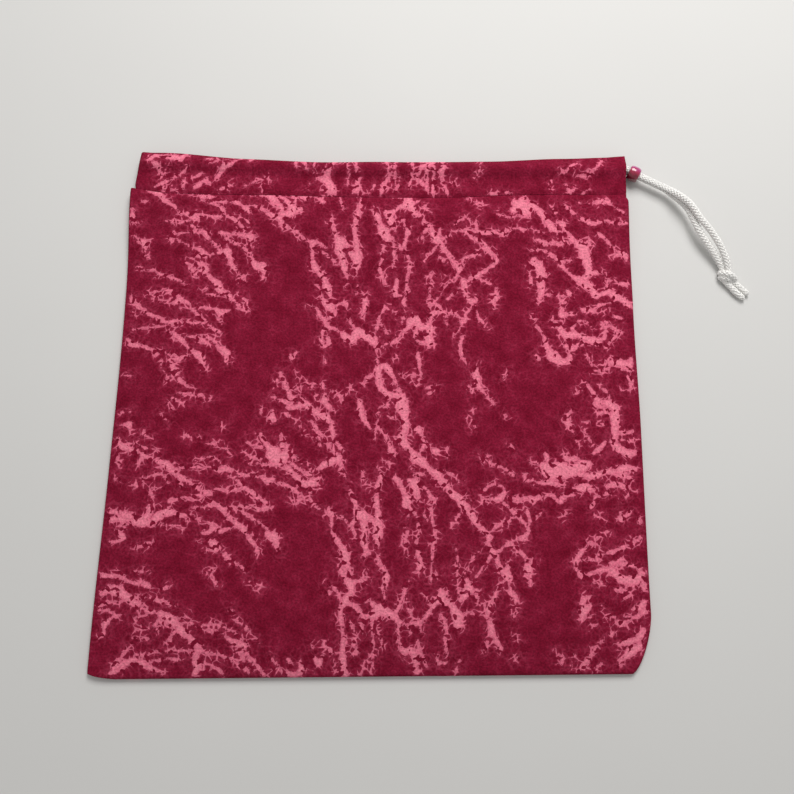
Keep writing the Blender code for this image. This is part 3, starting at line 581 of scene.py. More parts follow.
# the print's veins, drawn one by one: each line is one vein, with the place and width of each bend in mm.
# a long vein goes on in the next line, from the same bend
bodyVeins = """
-136 124 3, -130 122 4, -126 117 3, -120 113 2, -117 109.5 1.8, -112 107.5 3, -106 105 2.5
-118 124 1.2, -112 125 1.5
-140 117 1.5, -138 117 2
-146 112 2, -145 107 3
-145 104 1, -142 103 1
-143 96 1, -140 92 3, -137 91 5, -137 87 2.5, -135 82 0.8
-125 104 0.8, -118 102.5 1, -112 104 1, -108 104 1
-107 108 1.2, -100 107 1.8, -95 106 1.8, -89 106.5 1.8, -85 106 2
-115 121 1, -108 120.5 2, -104 119 3.5, -100 118.5 2.5, -97 117 1.5
-103 116 1, -97 114 1.5, -92 111 1.8, -88 107 2, -84 104.5 2.5, -80 100 2, -76 97 2, -74 93 4
-97 116.5 1.5, -90 115 2.2, -83 115 2, -79 112 3, -76 110 3.5
-76 113 1.5, -70 112 1.5, -66 109.5 2, -62 106.5 3.5, -58 105 4, -56 101 2.5, -50 98 2
-78 121 0.8, -72 120.5 1.5, -67 120.5 2.5, -63 118 4, -59 114.5 4, -56 109 3
-60 121 1.5, -56 117.5 2, -52 114 4, -50 110 6, -53 107.5 5, -57 108.5 3
-50 120 3, -49 117 1.5
-46 111 3, -45 109 1
-80 106 0.8, -77 104 1, -75 101.5 0.8
-110 101 1.5, -105 98 2.5, -101 96 3, -98 92 2, -94 88 2, -91 84.5 2, -88 85 5, -86 81 3.5, -85 78 2.5
-85 78 2.5, -83 75 3, -81 73 1
-120 96 0.7, -113 96.5 0.8, -106 97 1
-92 96 2.5, -86 95.5 1.5, -79 95 2, -75 94 4
-91 96 2, -87 92 2.5, -82 89.5 1.8, -77 86 1.8, -74 84.5 1, -73 80 1
-76 88 1, -71 88 1.2
-73 80 2.5, -71 77 4, -67 76 6, -66 73 3, -66.5 69 1
-122 93 1.5, -120 91 2, -119 93 1, -114 90.5 1.2, -108 87.5 1.5, -103 86 2, -101 84 3, -99 82 3
-111 81.5 1.2, -106 81.5 1.8, -102 83 3.5, -98 82 2, -96 84 1, -92 84 1
-110 82 1, -110 77 0.8, -107 73 1, -105 77 1.5, -102 78 2.5, -100 74.5 5.5, -103 72 3, -106 70.5 1.2
-98 71 2.5, -96 69 2.5, -93 66 5, -91 62 4, -88 60 3.5, -85 58 3
-140 77 0.8, -134 74.5 1, -131 75 1.2, -128 72 1, -122 70.5 1, -117 68.5 2, -113 66.5 1.5, -111 64 1
-132 60.5 1, -125 61 1.2, -121 62 1.2, -117 60 1.2, -113 57 1.5
-132 57 1, -128 57 1.5, -121 55.5 1.2, -117 54 2.5, -113 56 4, -109 54 1.5, -104 52 1.5, -99 51 1.8
-99 51 1.8, -93 50.5 2, -90 48 3.5, -85 49.5 1.2
-143 60 1.5, -143 56 2, -138 52.5 3, -133 49 2.5, -127 46 2, -122 43 2.5, -116 41.5 2.5
-113 51 1.5, -107 50.5 1.2, -103 47 1.8, -99 44 2, -96 41.5 2, -92 38 2, -89 36.5 1.5
-118 44 1, -112 43 1.2, -106 42 1.2, -100 42.5 1.8, -97 41 2
-101 62 1, -98 63 1
-98 59.5 0.8, -91 58.5 1
-80 59 1, -75 55 1
-85 57 1, -80 53 1, -76 50.5 1.2, -74 49.5 1.2
-81 68 1.5, -77 71 2, -77 68 1.5
-92 46 1, -89 42 1.2
-120 38 1, -115 35 2, -111 32.5 3, -108 29 2, -104 25 2.5, -99 22 4.5, -98 19 3, -97 15 1
-143 33 2, -140 30 3, -134 29 2, -128 26 1.8, -120 25 1, -117 23 1.2, -112 21 2, -105 23 1
-112 33 1, -106 34 1.2, -103 34 1.8, -99 31.5 2.5, -95 29 1.5
-99 34 1.2, -94 33 1.5, -91 31 2, -90 28 2, -87 26 4, -85 24 4.5, -85 20 2, -84 18 0.8
-140 38.5 0.8, -133 39.5 0.8, -127 39.5 1, -120 41 1
-141 49 1, -139 47 1
-52 99 2, -46 96 1.5, -42 92 2, -39 91 3, -38 87 2.5, -38.5 82 1.5, -38 79 3, -35 75 4, -31 70 3, -30 66 5
-30 66 5, -28 61 3, -27 58 1.5
-39 91 2.5, -34 90.5 1.8, -30 88 2
-36 87 1, -31 84.5 1, -29 83 1.5, -27 81 2, -24 79 2
-28 107 1, -28 103 2.5, -26 99 2, -25 95 2.5, -22 91 7, -23 87 5, -21 83 4, -20 78 3.5, -19 73 3, -17 70 1.5
-21 94 3, -17 87 2.5, -14 83 4
-11 118 1.2, -11 113 3, -12 109 3, -14 104 3, -14 98 2.5, -13 92 3, -12 87 3.5, -12 82 6, -13 77 4.5
-13 77 4.5, -13 73 1.5
-46 120 3, -43 118 3.5, -39 120.5 2, -36 118 2.5, -33 116 2
-23 119 0.8, -21 112 1
-4 111 2, -1 108 3.5, 0 103 3, 3 98 7, 5 95 5, 6 93 4, 8 95 1.5, 9 91 1.2
4 110 2, 6 108 6, 8 103 4, 9 100 2.5
4 110 2, 8 110.5 3, 12 113 3, 15 114 4, 17 118 5, 18 114 6, 21 110 4, 24 108 2
9 121 2, 15 120.5 2.5
20 116 1.5, 24 118 1
25 114 1, 31 110 1.2
26 107 1.5, 27 103 3.5, 29 101 2.5, 26 97 1.5, 25 94 1
29 103 1.5, 31 99 3, 33 95 5.5, 36 92 4, 38 88 3, 41 84 3, 44 80 3, 47 77 4
36 100 0.8, 35 96 1
37 93 1, 41 97 1
33 89 1, 30 85 1, 27 81 1
12 106 1, 15 104 1, 16 101 2, 17 98 3, 16 94 2, 15 90 2, 16 86 1.5, 18 82 2, 18.5 78 2, 17 73 1.5, 16.5 68 2
16.5 68 2, 16.5 64 3, 15.5 60 1.5, 15 56 2, 16 52 1
9 90 0.8, 9 85 1.5, 9 80 1, 8.5 76 0.8
3 90 1, 3 86 1
3 82 1.2, 1 79 1, 1 75 2, 2 72 2, 4 68 1.2, 8 63 0.8
11 69 2.5, 10 65 2.5, 10 60 2.5, 14 60 1.2
12 90 1, 14 86 1
-36 66 1, -34 65 2
-33 60 2, -31 56 3, -28 53 5, -25 49 3
-26 54 2, -22 54 1.5, -18 55 2, -17 52 1.2
-40 53 1, -35 52 1.5, -33 48 3, -30 45 2.5, -29 41 3, -31 38 2, -32 33 2.5, -30 29 2
-25 49 2, -28 45 1.5
-28 40 2, -24 39.5 1.5, -21 37 2, -18 35 4, -14 33 4, -11 38 6, -7 36 5, -3 33 5, 0 31 2.5, 4 29 1.2
-14 41 3, -16 46 1.2
-28 34 2, -27 31 2.5
-12 66 1, -12 61 2
-9 62 1, -7 56 3.5, -8 50 2, -9 46 1
-17 68 1.5, -19 65 1
6 54 1, 3 51 1.5, 1 47 1.5, 0 42 1.5, -1 38 2, -1 33 2, 0 25 1, 1 19 1.5
1 45 0.8, 4 40 1, 7 35 1
5 31 1.5, 9 32 2.5, 12 34 2, 14 38 2, 17 40 2, 19 44 5, 22 46 5, 25 41 4, 28 42 3, 31 40 4, 29 36 5, 30 33 5
30 33 5, 29 30 3
22 41 2.5, 22 37 2.5, 21 35 1.2
23 33 2, 27 31.5 2.5
30 44 2.5, 31 49 3, 34 51 4, 38 50 2, 39 47 1.5, 40 43 1
11 49 1, 12 47 1
15 47 1.5, 14 43 1.2
34 55 1.5, 36 52 3
42 49 1, 46 48 1.2, 48 45 2, 47 41 1.5, 44 37 1
30 72 0.8, 30 62 0.8, 30 52 1
36 60 0.8, 38 65 1, 42 69 1, 46 73 1, 48 78 1.2
31 54 0.8, 35 59 0.8
40 58 0.8, 47 65 0.8
28 71 1, 31 73 1.5
37 74 1.2, 39 73 1.2
36 83 1, 38 81 2
44 103 1, 48 106 1, 51 108 1.2, 54 105 1, 57 101 3, 57 106 1
43 99 1, 46 99 1.5, 50 99 2, 52 99 3.5, 57 99 2, 62 98 2.5, 68 99 1.8, 73 98 4, 74 100 1.5, 79 101 1.2
79 101 1.2, 85 101 1.5, 90 101 1, 96 99 1
49 36 2, 47 31 2.5, 48 26 2.5, 49 22 2
52 97 2, 57 94 2, 60 93 2.5, 62 90 3, 64 88 3, 67 85 2, 69 82 3, 67 79 2.5, 63 76 2, 57 73 3.5, 52 69 2
61 88 1.2, 55 85 2, 50 83 1.5, 48 80 1.5
49 70 2.5, 50 66 4, 51 61 1.5, 54 57 4, 57 58 3, 57 61 1.5
56 54 1.5, 57 51 1.5, 58 47 1.5, 61 44 1, 63 42 0.8
54 55 1, 51 49 1, 50 45 1
79 113 5, 84 118 6, 86 113 7, 91 116 5, 95 112 4, 98 107 4, 101 103 4.5, 105 100 2, 109 99 1.5
80 117 5, 86 119 4
70 109.5 1, 75 108 1, 80 109 1.5, 88 108.5 1.2
101 116 1.5, 104 112 2.5
105 106 2, 108 105 4, 110 101 3, 112 97 3, 116 94 4, 120 90 8, 121 85 7, 122 80 5, 123 76 5, 120 72 4
120 72 4, 117 69 3
124 93 3, 122 96 1.2
109 118 1, 111 115 3, 115 112 2
118 119 1, 124 119 1, 131 120 2.5, 136 121 3, 139 118 1, 145 114 1.5
119 109 1.5, 124 107 3, 128 106 3, 131 108 2, 136 108.5 2, 141 107.5 2, 146 107.5 2.5
127 103 1, 131 99 3, 134 97 2.5, 137 93 1.5, 140 90 1.5, 145 88 4, 146 85 2
137 86.5 1, 142 88 2
93 95 2.5, 97 92.5 3, 100 93 1.5, 104 94 1.5, 110 93.5 1.8, 114 94 2
89 89 1.2, 95 89 1, 99 87 1.8, 104 83.5 3.5, 107 82 1.2, 113 83 1
106 80 2, 110 76 1.8, 113 73 2, 116 72 4, 119 72 4
91 83 3, 89 80 3, 93 80 6, 95 74 6, 94 69 5, 95 65 4, 94 61 3.5, 92 57 1.5
88 75 1.5, 89 68 2
97 62 2, 102 62 2, 105 60 1.2, 107 57 1
106 54 2, 106 50 4.5, 110 50 3, 114 51 1.5
102 45 2.5, 105 41 4, 108 37 4.5, 113 38 5, 118 37 4, 122 35 5, 126 34 5, 130 37 2, 131 41 1.5, 129 45 2.5
111 41 1.2, 115 46 1.2, 119 47 1, 123 43 1
117 53 2, 121 53 3.5, 125 53 3, 128 56 2, 134 58 1.5, 139 61 2
117 69 3, 121 68 6, 125 66 4.5, 126 62 5, 130 63 2, 133 65 4, 138 63 5, 143 60 5, 146 58 5
110 65 2, 111 63 3.5
124 76 4, 129 76 2, 133 76 1.5, 135 72 1.5, 140 71 1.2, 145 70 3.5
134 68 1.5, 133 72 1
130 53 1, 134 55 1
137 50 1.5, 142 49 2
131 47 1.5, 136 43 2, 139 41 2, 137 38 1.5, 134 35 1.5, 131 31 2.5
107 31 2, 110 29 3.5, 115 32 2, 119 34 2
100 45 1, 101 50 0.8
90 49 1, 91 43 1, 94 39 1.8, 96 34 2.5, 97 29 4
57 73 1.5, 60 70 1.2, 65 68 1.5
69 65 1.2, 68 61 4, 67 57 3, 67 52 1
52 119 1, 57 117 1.5, 61 116 1.5
-122 20 1, -121 15 1, -119 12 1.5, -116 10 2, -113 13 5, -115 17 3, -117 20 1.5
-111 20 1.5, -113 22 1
-118 9 1.2, -116 10 1.5
-111 9 2, -108 7 2.5, -106 5 1.5, -102 4 1.2
-144 11.5 1, -139 11.5 0.8
-111 1 1, -103 0.5 0.8, -97 0 0.8, -95 -2 2, -93 -2 2.5
-114 -2 2, -109 -4 1
-115 -5 1, -113 -8 2
-120 -11 1, -115 -15 1
-143 -9.5 0.8, -138 -9 1
-141 -17 1.5, -138 -17 3.5, -136 -21 1.5
-129 -20 1.5, -129 -22 2.5, -125 -24 0.8
-144 -24 1.5, -142 -28 4, -137 -30 4.5, -132 -32 2.5
-138 -28 2.5, -133 -27 1
-130 -29 2, -127 -30 1, -121 -31 1
-128 -34 4, -125 -35.5 2, -121 -36 1.5, -118 -38 3.5, -114 -40 5, -110 -43 3.5, -106 -46 3.5, -102 -48 3
-102 -48 3, -98 -51 2, -93 -53.5 2, -88 -54.5 2
-110 -38 1, -111 -41 2
-128 -35 3, -131 -39 2
-143 -35 1.5, -142 -38.5 2
-127 -46.5 1, -121 -45 1, -117 -44 1.5
-115 -46 1, -113 -49 1
-143 -47 2, -140 -48 1
-133 -50 1, -126 -49.5 1.2
-124 -52.5 1, -117 -51.5 1
-123 -53 1, -121 -57 1.8, -121.5 -61 2, -122 -64 3
-144 -65 3, -139 -65 3, -134 -67 3.5, -130 -70 4, -125 -71 5, -120 -71 4, -118 -68 5, -114 -65 5, -108 -66 3.5
-108 -66 3.5, -103 -67 2, -101 -70 1.2
-143 -69 4, -138 -69 3, -133 -69.5 2.5
-122 -66 4, -126 -69 5
-139 -72.5 1, -131 -71.5 1.5
-116 -71.5 1, -108 -72.5 1, -103 -74 1
-107 -47 1, -105 -52 1.5, -103 -53 1.5
-109 -58 2, -112 -60 1.5
-105 -57 0.8, -98 -57.5 1, -93 -56 1.2, -88 -55 1.8
-99 -37 1, -94 -35.5 1, -90 -34.5 1.2, -87 -36 1, -84 -38.5 1, -82 -39.5 2
-108 -41 1, -103 -40.5 0.8, -94 -40.5 1.2, -89 -40.5 1.5, -85 -42.5 2.5, -81 -41 3, -78 -42 1
-81 -45 1.5, -77 -46 2, -74 -48.5 2, -71 -51 2, -67 -54 3, -63 -57 2.5, -59 -59.5 1.5
-76 -43.5 1.5, -71 -44.5 2, -66 -44 2.5, -62 -46 2, -58 -48 4, -55 -46 1.5
-87 -52 1.5, -82 -53 1.2, -77 -53 1.5, -71 -52 2
-92 -58.5 1.2, -88 -60 1.8, -84 -62 3, -80 -66 2, -77 -69 2.5, -73 -72 3, -70 -74 4, -68 -77 2.5, -62 -85 2
-62 -85 2, -64 -88 1
-99 -62.5 1, -92 -62 1, -86 -61.5 1.5
-82 -62.5 1.5, -77 -62 1.8, -73 -62.5 2.5, -69 -66 2, -65 -68.5 1.5, -61 -71 1, -58 -73 1
-73 -61.5 2, -68 -62 1.2, -62 -63 3, -58 -62.5 2.5
-98 -66 1.5, -95 -69 1, -89 -71 1.5, -86 -73 3, -89 -75.5 2.5, -93 -76 1
-83 -75 2.5, -77 -73 1.2, -73 -72 2
-93 -27 1, -88 -28 1.5, -83 -29.5 1.5, -80 -32.5 1.2
-97 -23 1.2, -97 -25 1.5
-104 -23 1.2, -103 -24 1
-85 -17 1.2, -84 -18 1
-64 -22 1.8, -61 -26 2.5, -58 -30 4, -56 -33 9, -53 -36 7, -50 -33 6
-71 -26 1, -67 -28 2, -63 -29 1.5
-72 -32 1, -68 -35 1.8, -62 -36 2
-70 -37 1, -62 -38.5 2, -54 -39 2, -48 -41 1.5
-52 -22 2, -51 -28 3
-60 -13 2, -57 -13 4, -58 -9 2, -57 -7 1.5
-64 -8 1.5, -64 -10 1
-59 -1 1, -56 -0.5 1, -52 -3 1.5, -48 -5 3
-54 13 2, -52 9 2.5, -50 4 3, -48 0 3, -44 -2 3, -40 -4 4, -36 -7 3, -32 -10 3.5, -28 -12 5, -25 -15 3
-25 -15 3, -24 -20 2.5, -23 -24 2, -20 -27 1.5, -18 -31 1.5
-57 7 0.8, -56 9 0.8
-46 12 1.5, -43 10 1
-45 4 1, -41 6 1.5, -39 8 1
-50 -6 2.5, -46 -7 3, -42 -5 3
-50 24 1.5, -48 22 3, -46 25 1.5
-30 22 1.2, -29 20 1.2
-35 7 1.2, -36 5 1
-34 1 1, -33 -4 1.5, -32 -8 1.5
-30 8 1, -29 2 1.5, -29 -2 4, -26 -7 3, -23 -9 2
-25 4 1.5, -23 1 1, -19 0 2, -19 -3 1.5
-19 0 1.5, -16 2 1.2
-15 6 1, -13 3 1.2
-9 -2 2.5, -9 -6 4, -8 -10 4, -6 -14 3, -3 -18 1.5
-2 13 2, -5 11 2, -7 8 1
13 3 2.5, 12 7 2, 10 11 2.5, 8 15 3.5, 5 18 4, 1 17 4, 1 11 4, 3 5 4, 6 2 4, 11 1 4, 15 0 4
10 15 1, 15 12 1.5, 18 12 1
23 26 2, 24 20 2, 24.5 15 2.5, 25 11 2, 22 7 2
19 10 1.5, 21 9 1.5
9 22 1.2, 11 24 0.8
29 2 1.5, 31 3 1.5
29 6 1, 34 6 0.8
14 -3 8, 16 -9 6, 16 -14 5, 17 -18 4, 14 -23 5, 17 -27 4, 20 -30 3.5, 22 -34 5, 26 -36 5, 29 -40 3.5, 33 -42 5
33 -42 5, 36 -46 4.5, 39 -49 4, 42 -53 4, 46 -56 5, 49 -60 5, 52 -64 4, 55 -68 3.5, 57 -71 2.5, 60 -74 3
60 -74 3, 62 -76 4, 62 -79 2
20 -19 2.5, 24 -18 3, 26 -21 2, 27 -26 1.5, 25 -30 2, 24 -33 3
27 -27 1.2, 31 -28 1, 34 -30 4
20 -40 2, 22 -43 2.5, 26 -43 2, 29 -42 2
19 -47 2.5, 22 -48 6, 23 -53 4, 24 -56 2
27 -50 1.5, 30 -53 1, 32 -57 3
38 -41 1, 44 -44 1.5, 46 -47 1
11 -45 2, 14 -48 3, 16 -53 2.5, 18 -57 6, 17 -60 4, 20 -62 2, 23 -66 1.5, 24 -71 1.2, 24 -76 1, 23 -80 1
18 -62 2, 18 -67 1.5
4 -6 1.5, 7 -4 1.5
7 -10 1.5, 9 -12 1.5
2 -18 1.5, 5 -21 1.2, 7 -26 2, 9 -30 4, 11 -33 3
7 -36 1.2, 9 -38 1.5
1 -10 0.8, 1 -16 1, -1 -22 2, 0 -24 1
2 -40 1.2, 4 -44 3, 2 -49 3.5, 1 -55 2.5, 1 -60 3, 2 -66 3.5, 2 -72 6, 2 -77 5, 2 -82 1.5
-7 -41 1, -6 -46 1, -5 -49 0.8
-14 -50 1, -13 -54 2.5, -11 -58 2.5, -10 -62 2, -8 -65 6, -5 -67 6, -3 -66 3, -1 -69 2, 1 -71 3
-6 -70 4, -5 -75 3, -6 -78 4, -5 -81 4, -3 -86 3, -6 -88 1.5
-10 -68 3, -13 -71 1.5, -10 -76 1
-18 -36 1.5, -20 -34 4, -25 -37 4.5, -29 -39 3, -32 -41 2
-20 -36 3, -18 -42 1.2, -16 -46 1
-36 -14 1, -34 -17 2, -31 -21 2, -28 -25 1.5, -24 -30 1.5, -21 -33 2.5
-33 -22 1, -32 -25 1.8, -30 -28 1
-52 -26 1, -47 -32 1.5, -43 -36 1.5, -40 -38 1
-50 -38 2, -46 -42 2.5, -42 -46 3, -38 -49 4, -34 -48 6, -31 -46 3
-48 -36 1.5, -44 -39 2, -39 -43 2, -35 -44 2.5
-37 -38 1.5, -35 -41 1
-54 -48 1.5, -48 -50 2, -43 -53 2.5, -38 -57 1.5, -33 -60 1.2, -29 -63 1, -25 -66 1.5, -23 -66 2.5
-23 -66 2.5, -23 -71 1.5, -22 -76 2, -20 -79 3, -17 -83 4, -15 -88 5, -14 -93 3, -12 -97 2
-42 -50 2, -38 -50 2
-45 -57 1, -40 -57.5 1
-35 -51 1, -35 -57 1
-25 -62 1.5, -22 -66 2, -17 -67 2.5, -15 -69 1.5
-46 -14 1.5, -42 -17 1.2, -40 -21 1
-50 -10 1, -45 -13 1.2
31 -60 1.5, 31 -65 1.5, 32 -70 1.2, 33 -74 2, 33 -79 2, 32 -83 1.5, 31.5 -89 1.5, 31 -95 1.5, 31 -101 1
27 -65 1.2, 29 -68 1
46 -65 1.5, 43 -70 1
40 -28 0.8, 40 -34 1
16 -71 1, 18 -74 1.5, 17 -78 1.5, 17 -83 1.2, 18 -87 0.8
57 19 1.2, 56 14 4.5, 57 9 4, 58 6 2.5, 61 3 2, 63 0 2, 66 -3 1.5
52 7 1, 54 4 2
73 16 1, 71 11 0.8
72 -9 1.5, 73 -10 2
90 26 1.5, 92 23 2
97 29 3, 100 25 7, 104 22 5, 108 22 3.5, 110 25 3, 109 28 2
120 26 1.5, 122 20 1, 126 20 1, 131 22 1.5, 136 23 5, 141 22 5, 145 21 4, 146 25 2
122 17 1.2, 127 17 2, 132 19 1.5
140 19 2, 145 18 2
143 15 1.5, 145 12 3.5, 145 7 2, 141 6 1.2, 138 7 1.2
117 10 1.2, 120 7 2.5, 122 4 3, 124 0 3, 128 -1 4, 132 -2 5, 135 -5 5, 134 -10 6, 134 -15 5, 134 -20 4
134 -20 4, 132 -24 4, 136 -27 5, 141 -30 5, 145 -29 3
113 4 1.5, 116 6 1.2
127 8 2, 130 5 1.5, 132 2 1
124 -2 4, 128 -4 2.5, 130 -8 2
136 -18 3, 141 -18 2, 145 -17 2
146 -22 1, 138 -22 1.5
128 -24 1.2, 124 -28 3.5, 121 -30 2
110 -6 2, 107 -9 2.5, 106 -12 4.5, 108 -16 3, 110 -19 1.2
118 -12 1, 116 -18 1, 119 -22 1.5, 121 -26 1
112 -24 2, 113 -26 1
124 -8 1.5, 127 -7 1.5
125 -13 1.2, 127 -14 1.2
93 -38 5, 96 -40 9, 101 -40 10, 106 -40 9, 111 -39 6, 115 -37 7, 118 -36 4
94 -30 1.5, 95 -34 3
104 -30 1.5, 106 -34 3, 113 -33 2
84 -46 1.5, 90 -47 2, 97 -47 3, 104 -48 2
86 -36 2, 89 -37 1.5
82 -45 1, 83 -42 1
113 -42 3, 118 -43 4, 123 -42 4, 128 -40 3, 134 -40 3.5, 139 -38 5, 145 -38 3
134 -42 3, 139 -42 3, 142 -44 2
110 -50 2.5, 114 -49 5, 118 -49 4, 122 -51 2
128 -48 2.5, 132 -47 4, 136 -48 3, 143 -50 1
119 -54 1.2, 123 -54 1.5, 129 -52 1.5
120 -57 1, 118 -61 0.8
134 -58 1.2, 138 -55 1.2, 141 -51 1
58 -57 1, 63 -56 2, 68 -56 4, 71 -53 3, 71 -50 1.2
59 -52 1.2, 62 -49 1.5, 66 -47.5 1.5, 70 -49.5 1.5
74 -56 1.5, 79 -56 2.5, 84 -55 2, 87 -57 4, 91 -54 1.5, 97 -54 1.5, 101 -57 2.5, 103 -55 3, 108 -53 1.5
108 -53 1.5, 112 -53 1
70 -58 1.5, 74 -61 2, 77 -64 3, 80 -67 2, 82 -70 2, 84 -73 2, 82 -76 3, 77 -78 1.5, 72 -80 1
76 -66 1.5, 72 -69 1.5, 66 -71 2, 63 -74 1
83 -62 1, 84 -66 1.5, 85 -70 1
91 -63 1.5, 88 -65 1
105 -63 1.5, 102 -65 1
57 -32 1, 60 -36 1
63 -33 1, 64 -37 1.2, 69 -38.5 1.5, 72 -40 1.8, 74 -42 2, 76 -43 1
135 -63 2, 135 -66 4, 138 -64 2, 141 -62 1
146 -66 2.5, 146 -68 1.5
120 -64 0.8, 126 -66 1
117 -79 1.2, 121 -76 1.2, 127 -73 1
54 -8 1, 53 -12 0.8, 55 -17 0.8
75 -26 1, 76 -29 0.8
52 -57 1, 50 -54 1.2
-139 -75 2, -136 -78 4, -139 -81 2, -143 -81 1.5
-129 -84 1, -125 -83.5 1.8, -121 -81.5 1, -119 -81 0.8
-128 -97 1, -120 -96 1
-145 -99 3, -139 -99 2.5, -134 -99.5 3, -131 -102 1.5, -126 -103 1.5, -122 -103 4, -119 -104 2
-145 -108 3, -141 -106 5, -136 -107 6, -131 -110 5, -126 -113 4, -122 -115 2, -118 -116.5 3.5, -114 -118 2.5
-114 -118 2.5, -110 -119 4, -106 -122 5, -102 -125 4.5, -98 -129 4, -94 -133 3.5, -91 -136 3.5, -87 -138 2
-87 -138 2, -82 -138.5 1.5, -77 -140.5 1.5, -72 -143 1.8, -67 -146 1.2, -64 -149 1
-134 -103 1.5, -135 -105 2
-126 -110 2, -121 -109.5 1, -117 -110 1, -113 -112 2, -106 -114 1.5
-146 -114.5 2.5, -140 -113 1.2, -134 -112 1
-146 -117 1, -140 -117 1.5, -137 -119.5 2.5, -134 -120 1
-139 -121 2, -142 -124 3.5, -142 -128 2.5, -144 -131 1.5
-126 -120.5 1, -120 -119 1, -116 -117.5 1.5
-111 -121 3, -114 -122.5 1.5, -113 -129 1
-125 -127 1, -119 -125.5 1, -114 -124 1.2
-103 -120.5 1, -98 -120 0.8
-101 -123.5 1, -96 -123.5 0.8
-104 -128 1.5, -106 -130 2, -107 -133 2
-127 -131 1.2, -118 -131 0.8
-126 -133 1.5, -129 -137 1.5, -132 -141 2, -135 -146 4, -130 -144 3, -125 -142 3, -121 -144 4, -116 -146 3
-116 -146 3, -110 -148 1.5
-112 -106 1.2, -109 -104 1.5
-138 -149 2, -132 -147 3
-121 -140 1, -115 -138 1.2, -107 -137 1, -100 -137 1, -94 -137.5 1.5
-116 -142.5 1, -108 -141.5 0.8, -97 -141.5 1
-92 -137 3, -93 -142 3.5, -91 -145 4, -93 -149 2.5
-88 -144 1.5, -81 -146 1, -78 -149 2
-93 -80 1.5, -89 -80 2, -86 -82 5, -84 -84 4, -90 -85.5 1
-80 -87 2.5, -77 -90 3, -72 -93 1.5, -68 -96 1
-88 -96 1, -86 -95 2, -86 -98 1.2, -83 -104 0.8
-57 -76 4, -54 -78 6, -52 -82 3.5, -51 -86 1.2
-66 -101 1, -63 -103 1.5, -60 -105 1.2
-76 -116 1.2, -74 -117 1
-86 -123 1.2, -80 -124 1, -75 -126 1, -71 -129 1.5, -69 -133 2, -66 -137 1.8, -64 -141 1.8, -60 -145 1.5
-60 -145 1.5, -56 -149 1.2
-90 -125 1.5, -85 -127 1, -79 -128.5 1.2, -75 -131 1.8, -71 -134 3.5, -67 -134 2
-72 -136 1.5, -69 -139 2, -67 -143 1.5, -64 -149 1
-72 -121 0.8, -67 -125 1.5, -64 -128 1, -60 -132 1
-54 -139 1, -51 -143 1.5, -48 -147 1
-20 -88 1, -18 -90 1.5, -17 -95 3, -15 -99 3, -12 -102 5, -11 -106 4, -14 -110 4, -17 -115 3, -17 -119 3
-17 -119 3, -16 -125 2, -15 -132 3, -16 -138 3, -15 -144 4, -14 -149 4
-12 -101 4, -7 -100.5 1.5, -3 -100 1.5, -4 -96 1.2
-26 -101 1, -22 -103 1.5, -19 -106 1.8, -17 -110 2
-24 -104 1, -23 -107 1.2
-13 -112 2.5, -8 -114 3, -7 -118 2, -4 -119 3, 0 -118 5, 4 -115 7, 8 -117 5, 12 -119 4, 14 -122 3
0 -112 3, 2 -114 4
-4 -112 1.2, -2 -109 1
0 -122 2, 0 -128 1, 1 -135 1, 0 -140 1
14 -123 2, 13 -128 1.5, 14 -134 1.5, 17 -137 4, 20 -135 3, 22 -138 4, 23 -142 3.5, 24 -147 2.5
15 -121 2, 18 -123 1, 20 -127 1.5
12 -117 2, 14 -113 2, 16 -108 2, 18 -102 2, 20 -101 1.5
17 -109 1, 19 -114 1, 21 -119 1
20 -122 1.5, 24 -122 3, 27 -120 2, 29 -117 2, 32 -113 3, 35 -109 5, 38 -107 5, 36 -105 3
38 -111 4, 41 -111 4, 43 -114 4, 45 -119 7, 45 -123 5, 47 -118 3
36 -117 2.5, 38 -120 2, 39 -127 1.5, 39 -134 2, 40 -139 1.5, 38 -142 2.5, 35 -143 1.5, 34 -139 1
46 -110 2, 48 -108 4, 51 -104 6, 50 -100 3
53 -105 3, 56 -104 1.5
2 -87 1.5, 3 -91 2, 6 -95 2, 7 -99 4, 5 -104 2, 6 -109 1.2
24 -85 3, 25 -89 3, 25 -93 4, 27 -93 1.5
27 -107 1, 29 -110 1
34 -98 1.5, 34 -96 1
44 -83 1, 45 -88 1, 45 -95 1.5, 45 -101 1.5, 46 -106 2
49 -95 0.8, 47 -98 1
55 -107 2, 57 -112 2
49 -116 1, 53 -117 1
-12 -122 1.5, -9 -128 1, -10 -133 1, -8 -137 3, -12 -139 1.5
-6 -123 1, -5 -128 1
3 -127 1.2, 5 -131 1.5, 5 -134 0.8
24 -131 2, 25 -136 3, 27 -139 2, 29 -144 1.5
26 -127 1, 25 -124 1.5
-30 -140 2, -28 -143 3.5, -26 -138 1.2
-32 -134 1.5, -31 -135 1
-26 -133 1, -22 -136 1, -20 -140 1.2, -19 -146 2
-44 -148 3, -40 -149 3, -37 -146 3, -38 -141 1.5
-44 -141 1, -42 -144 2
-4 -142 1, -5 -147 1.2
0 -143 1.5, -1 -147 2
46 -141 1.2, 43 -143 0.8
44 -147 1.2, 45 -145 0.8
61 -80 1.5, 64 -84 3, 66 -87 3, 68 -93 2.5, 70 -97 3, 72 -98 5, 72 -93 2.5, 72 -91 2
66 -85 1, 71 -81 1.5, 74 -80 3, 77 -83 2, 81 -86 2, 82 -90 2, 83 -94 5, 84 -90 2.5, 86 -88 1
83 -96 3, 84 -102 1
78 -77 1.5, 83 -78 1
64 -85 1, 60 -91 0.8, 55 -98 0.8
57 -84 1, 54 -87 1, 51 -94 0.8
70 -100 1.5, 67 -104 1.2, 65 -107 3, 63 -111 3, 61 -116 3, 60 -119 2, 63 -122 3.5, 63 -127 3.5, 66 -131 3
66 -131 3, 68 -135 2.5
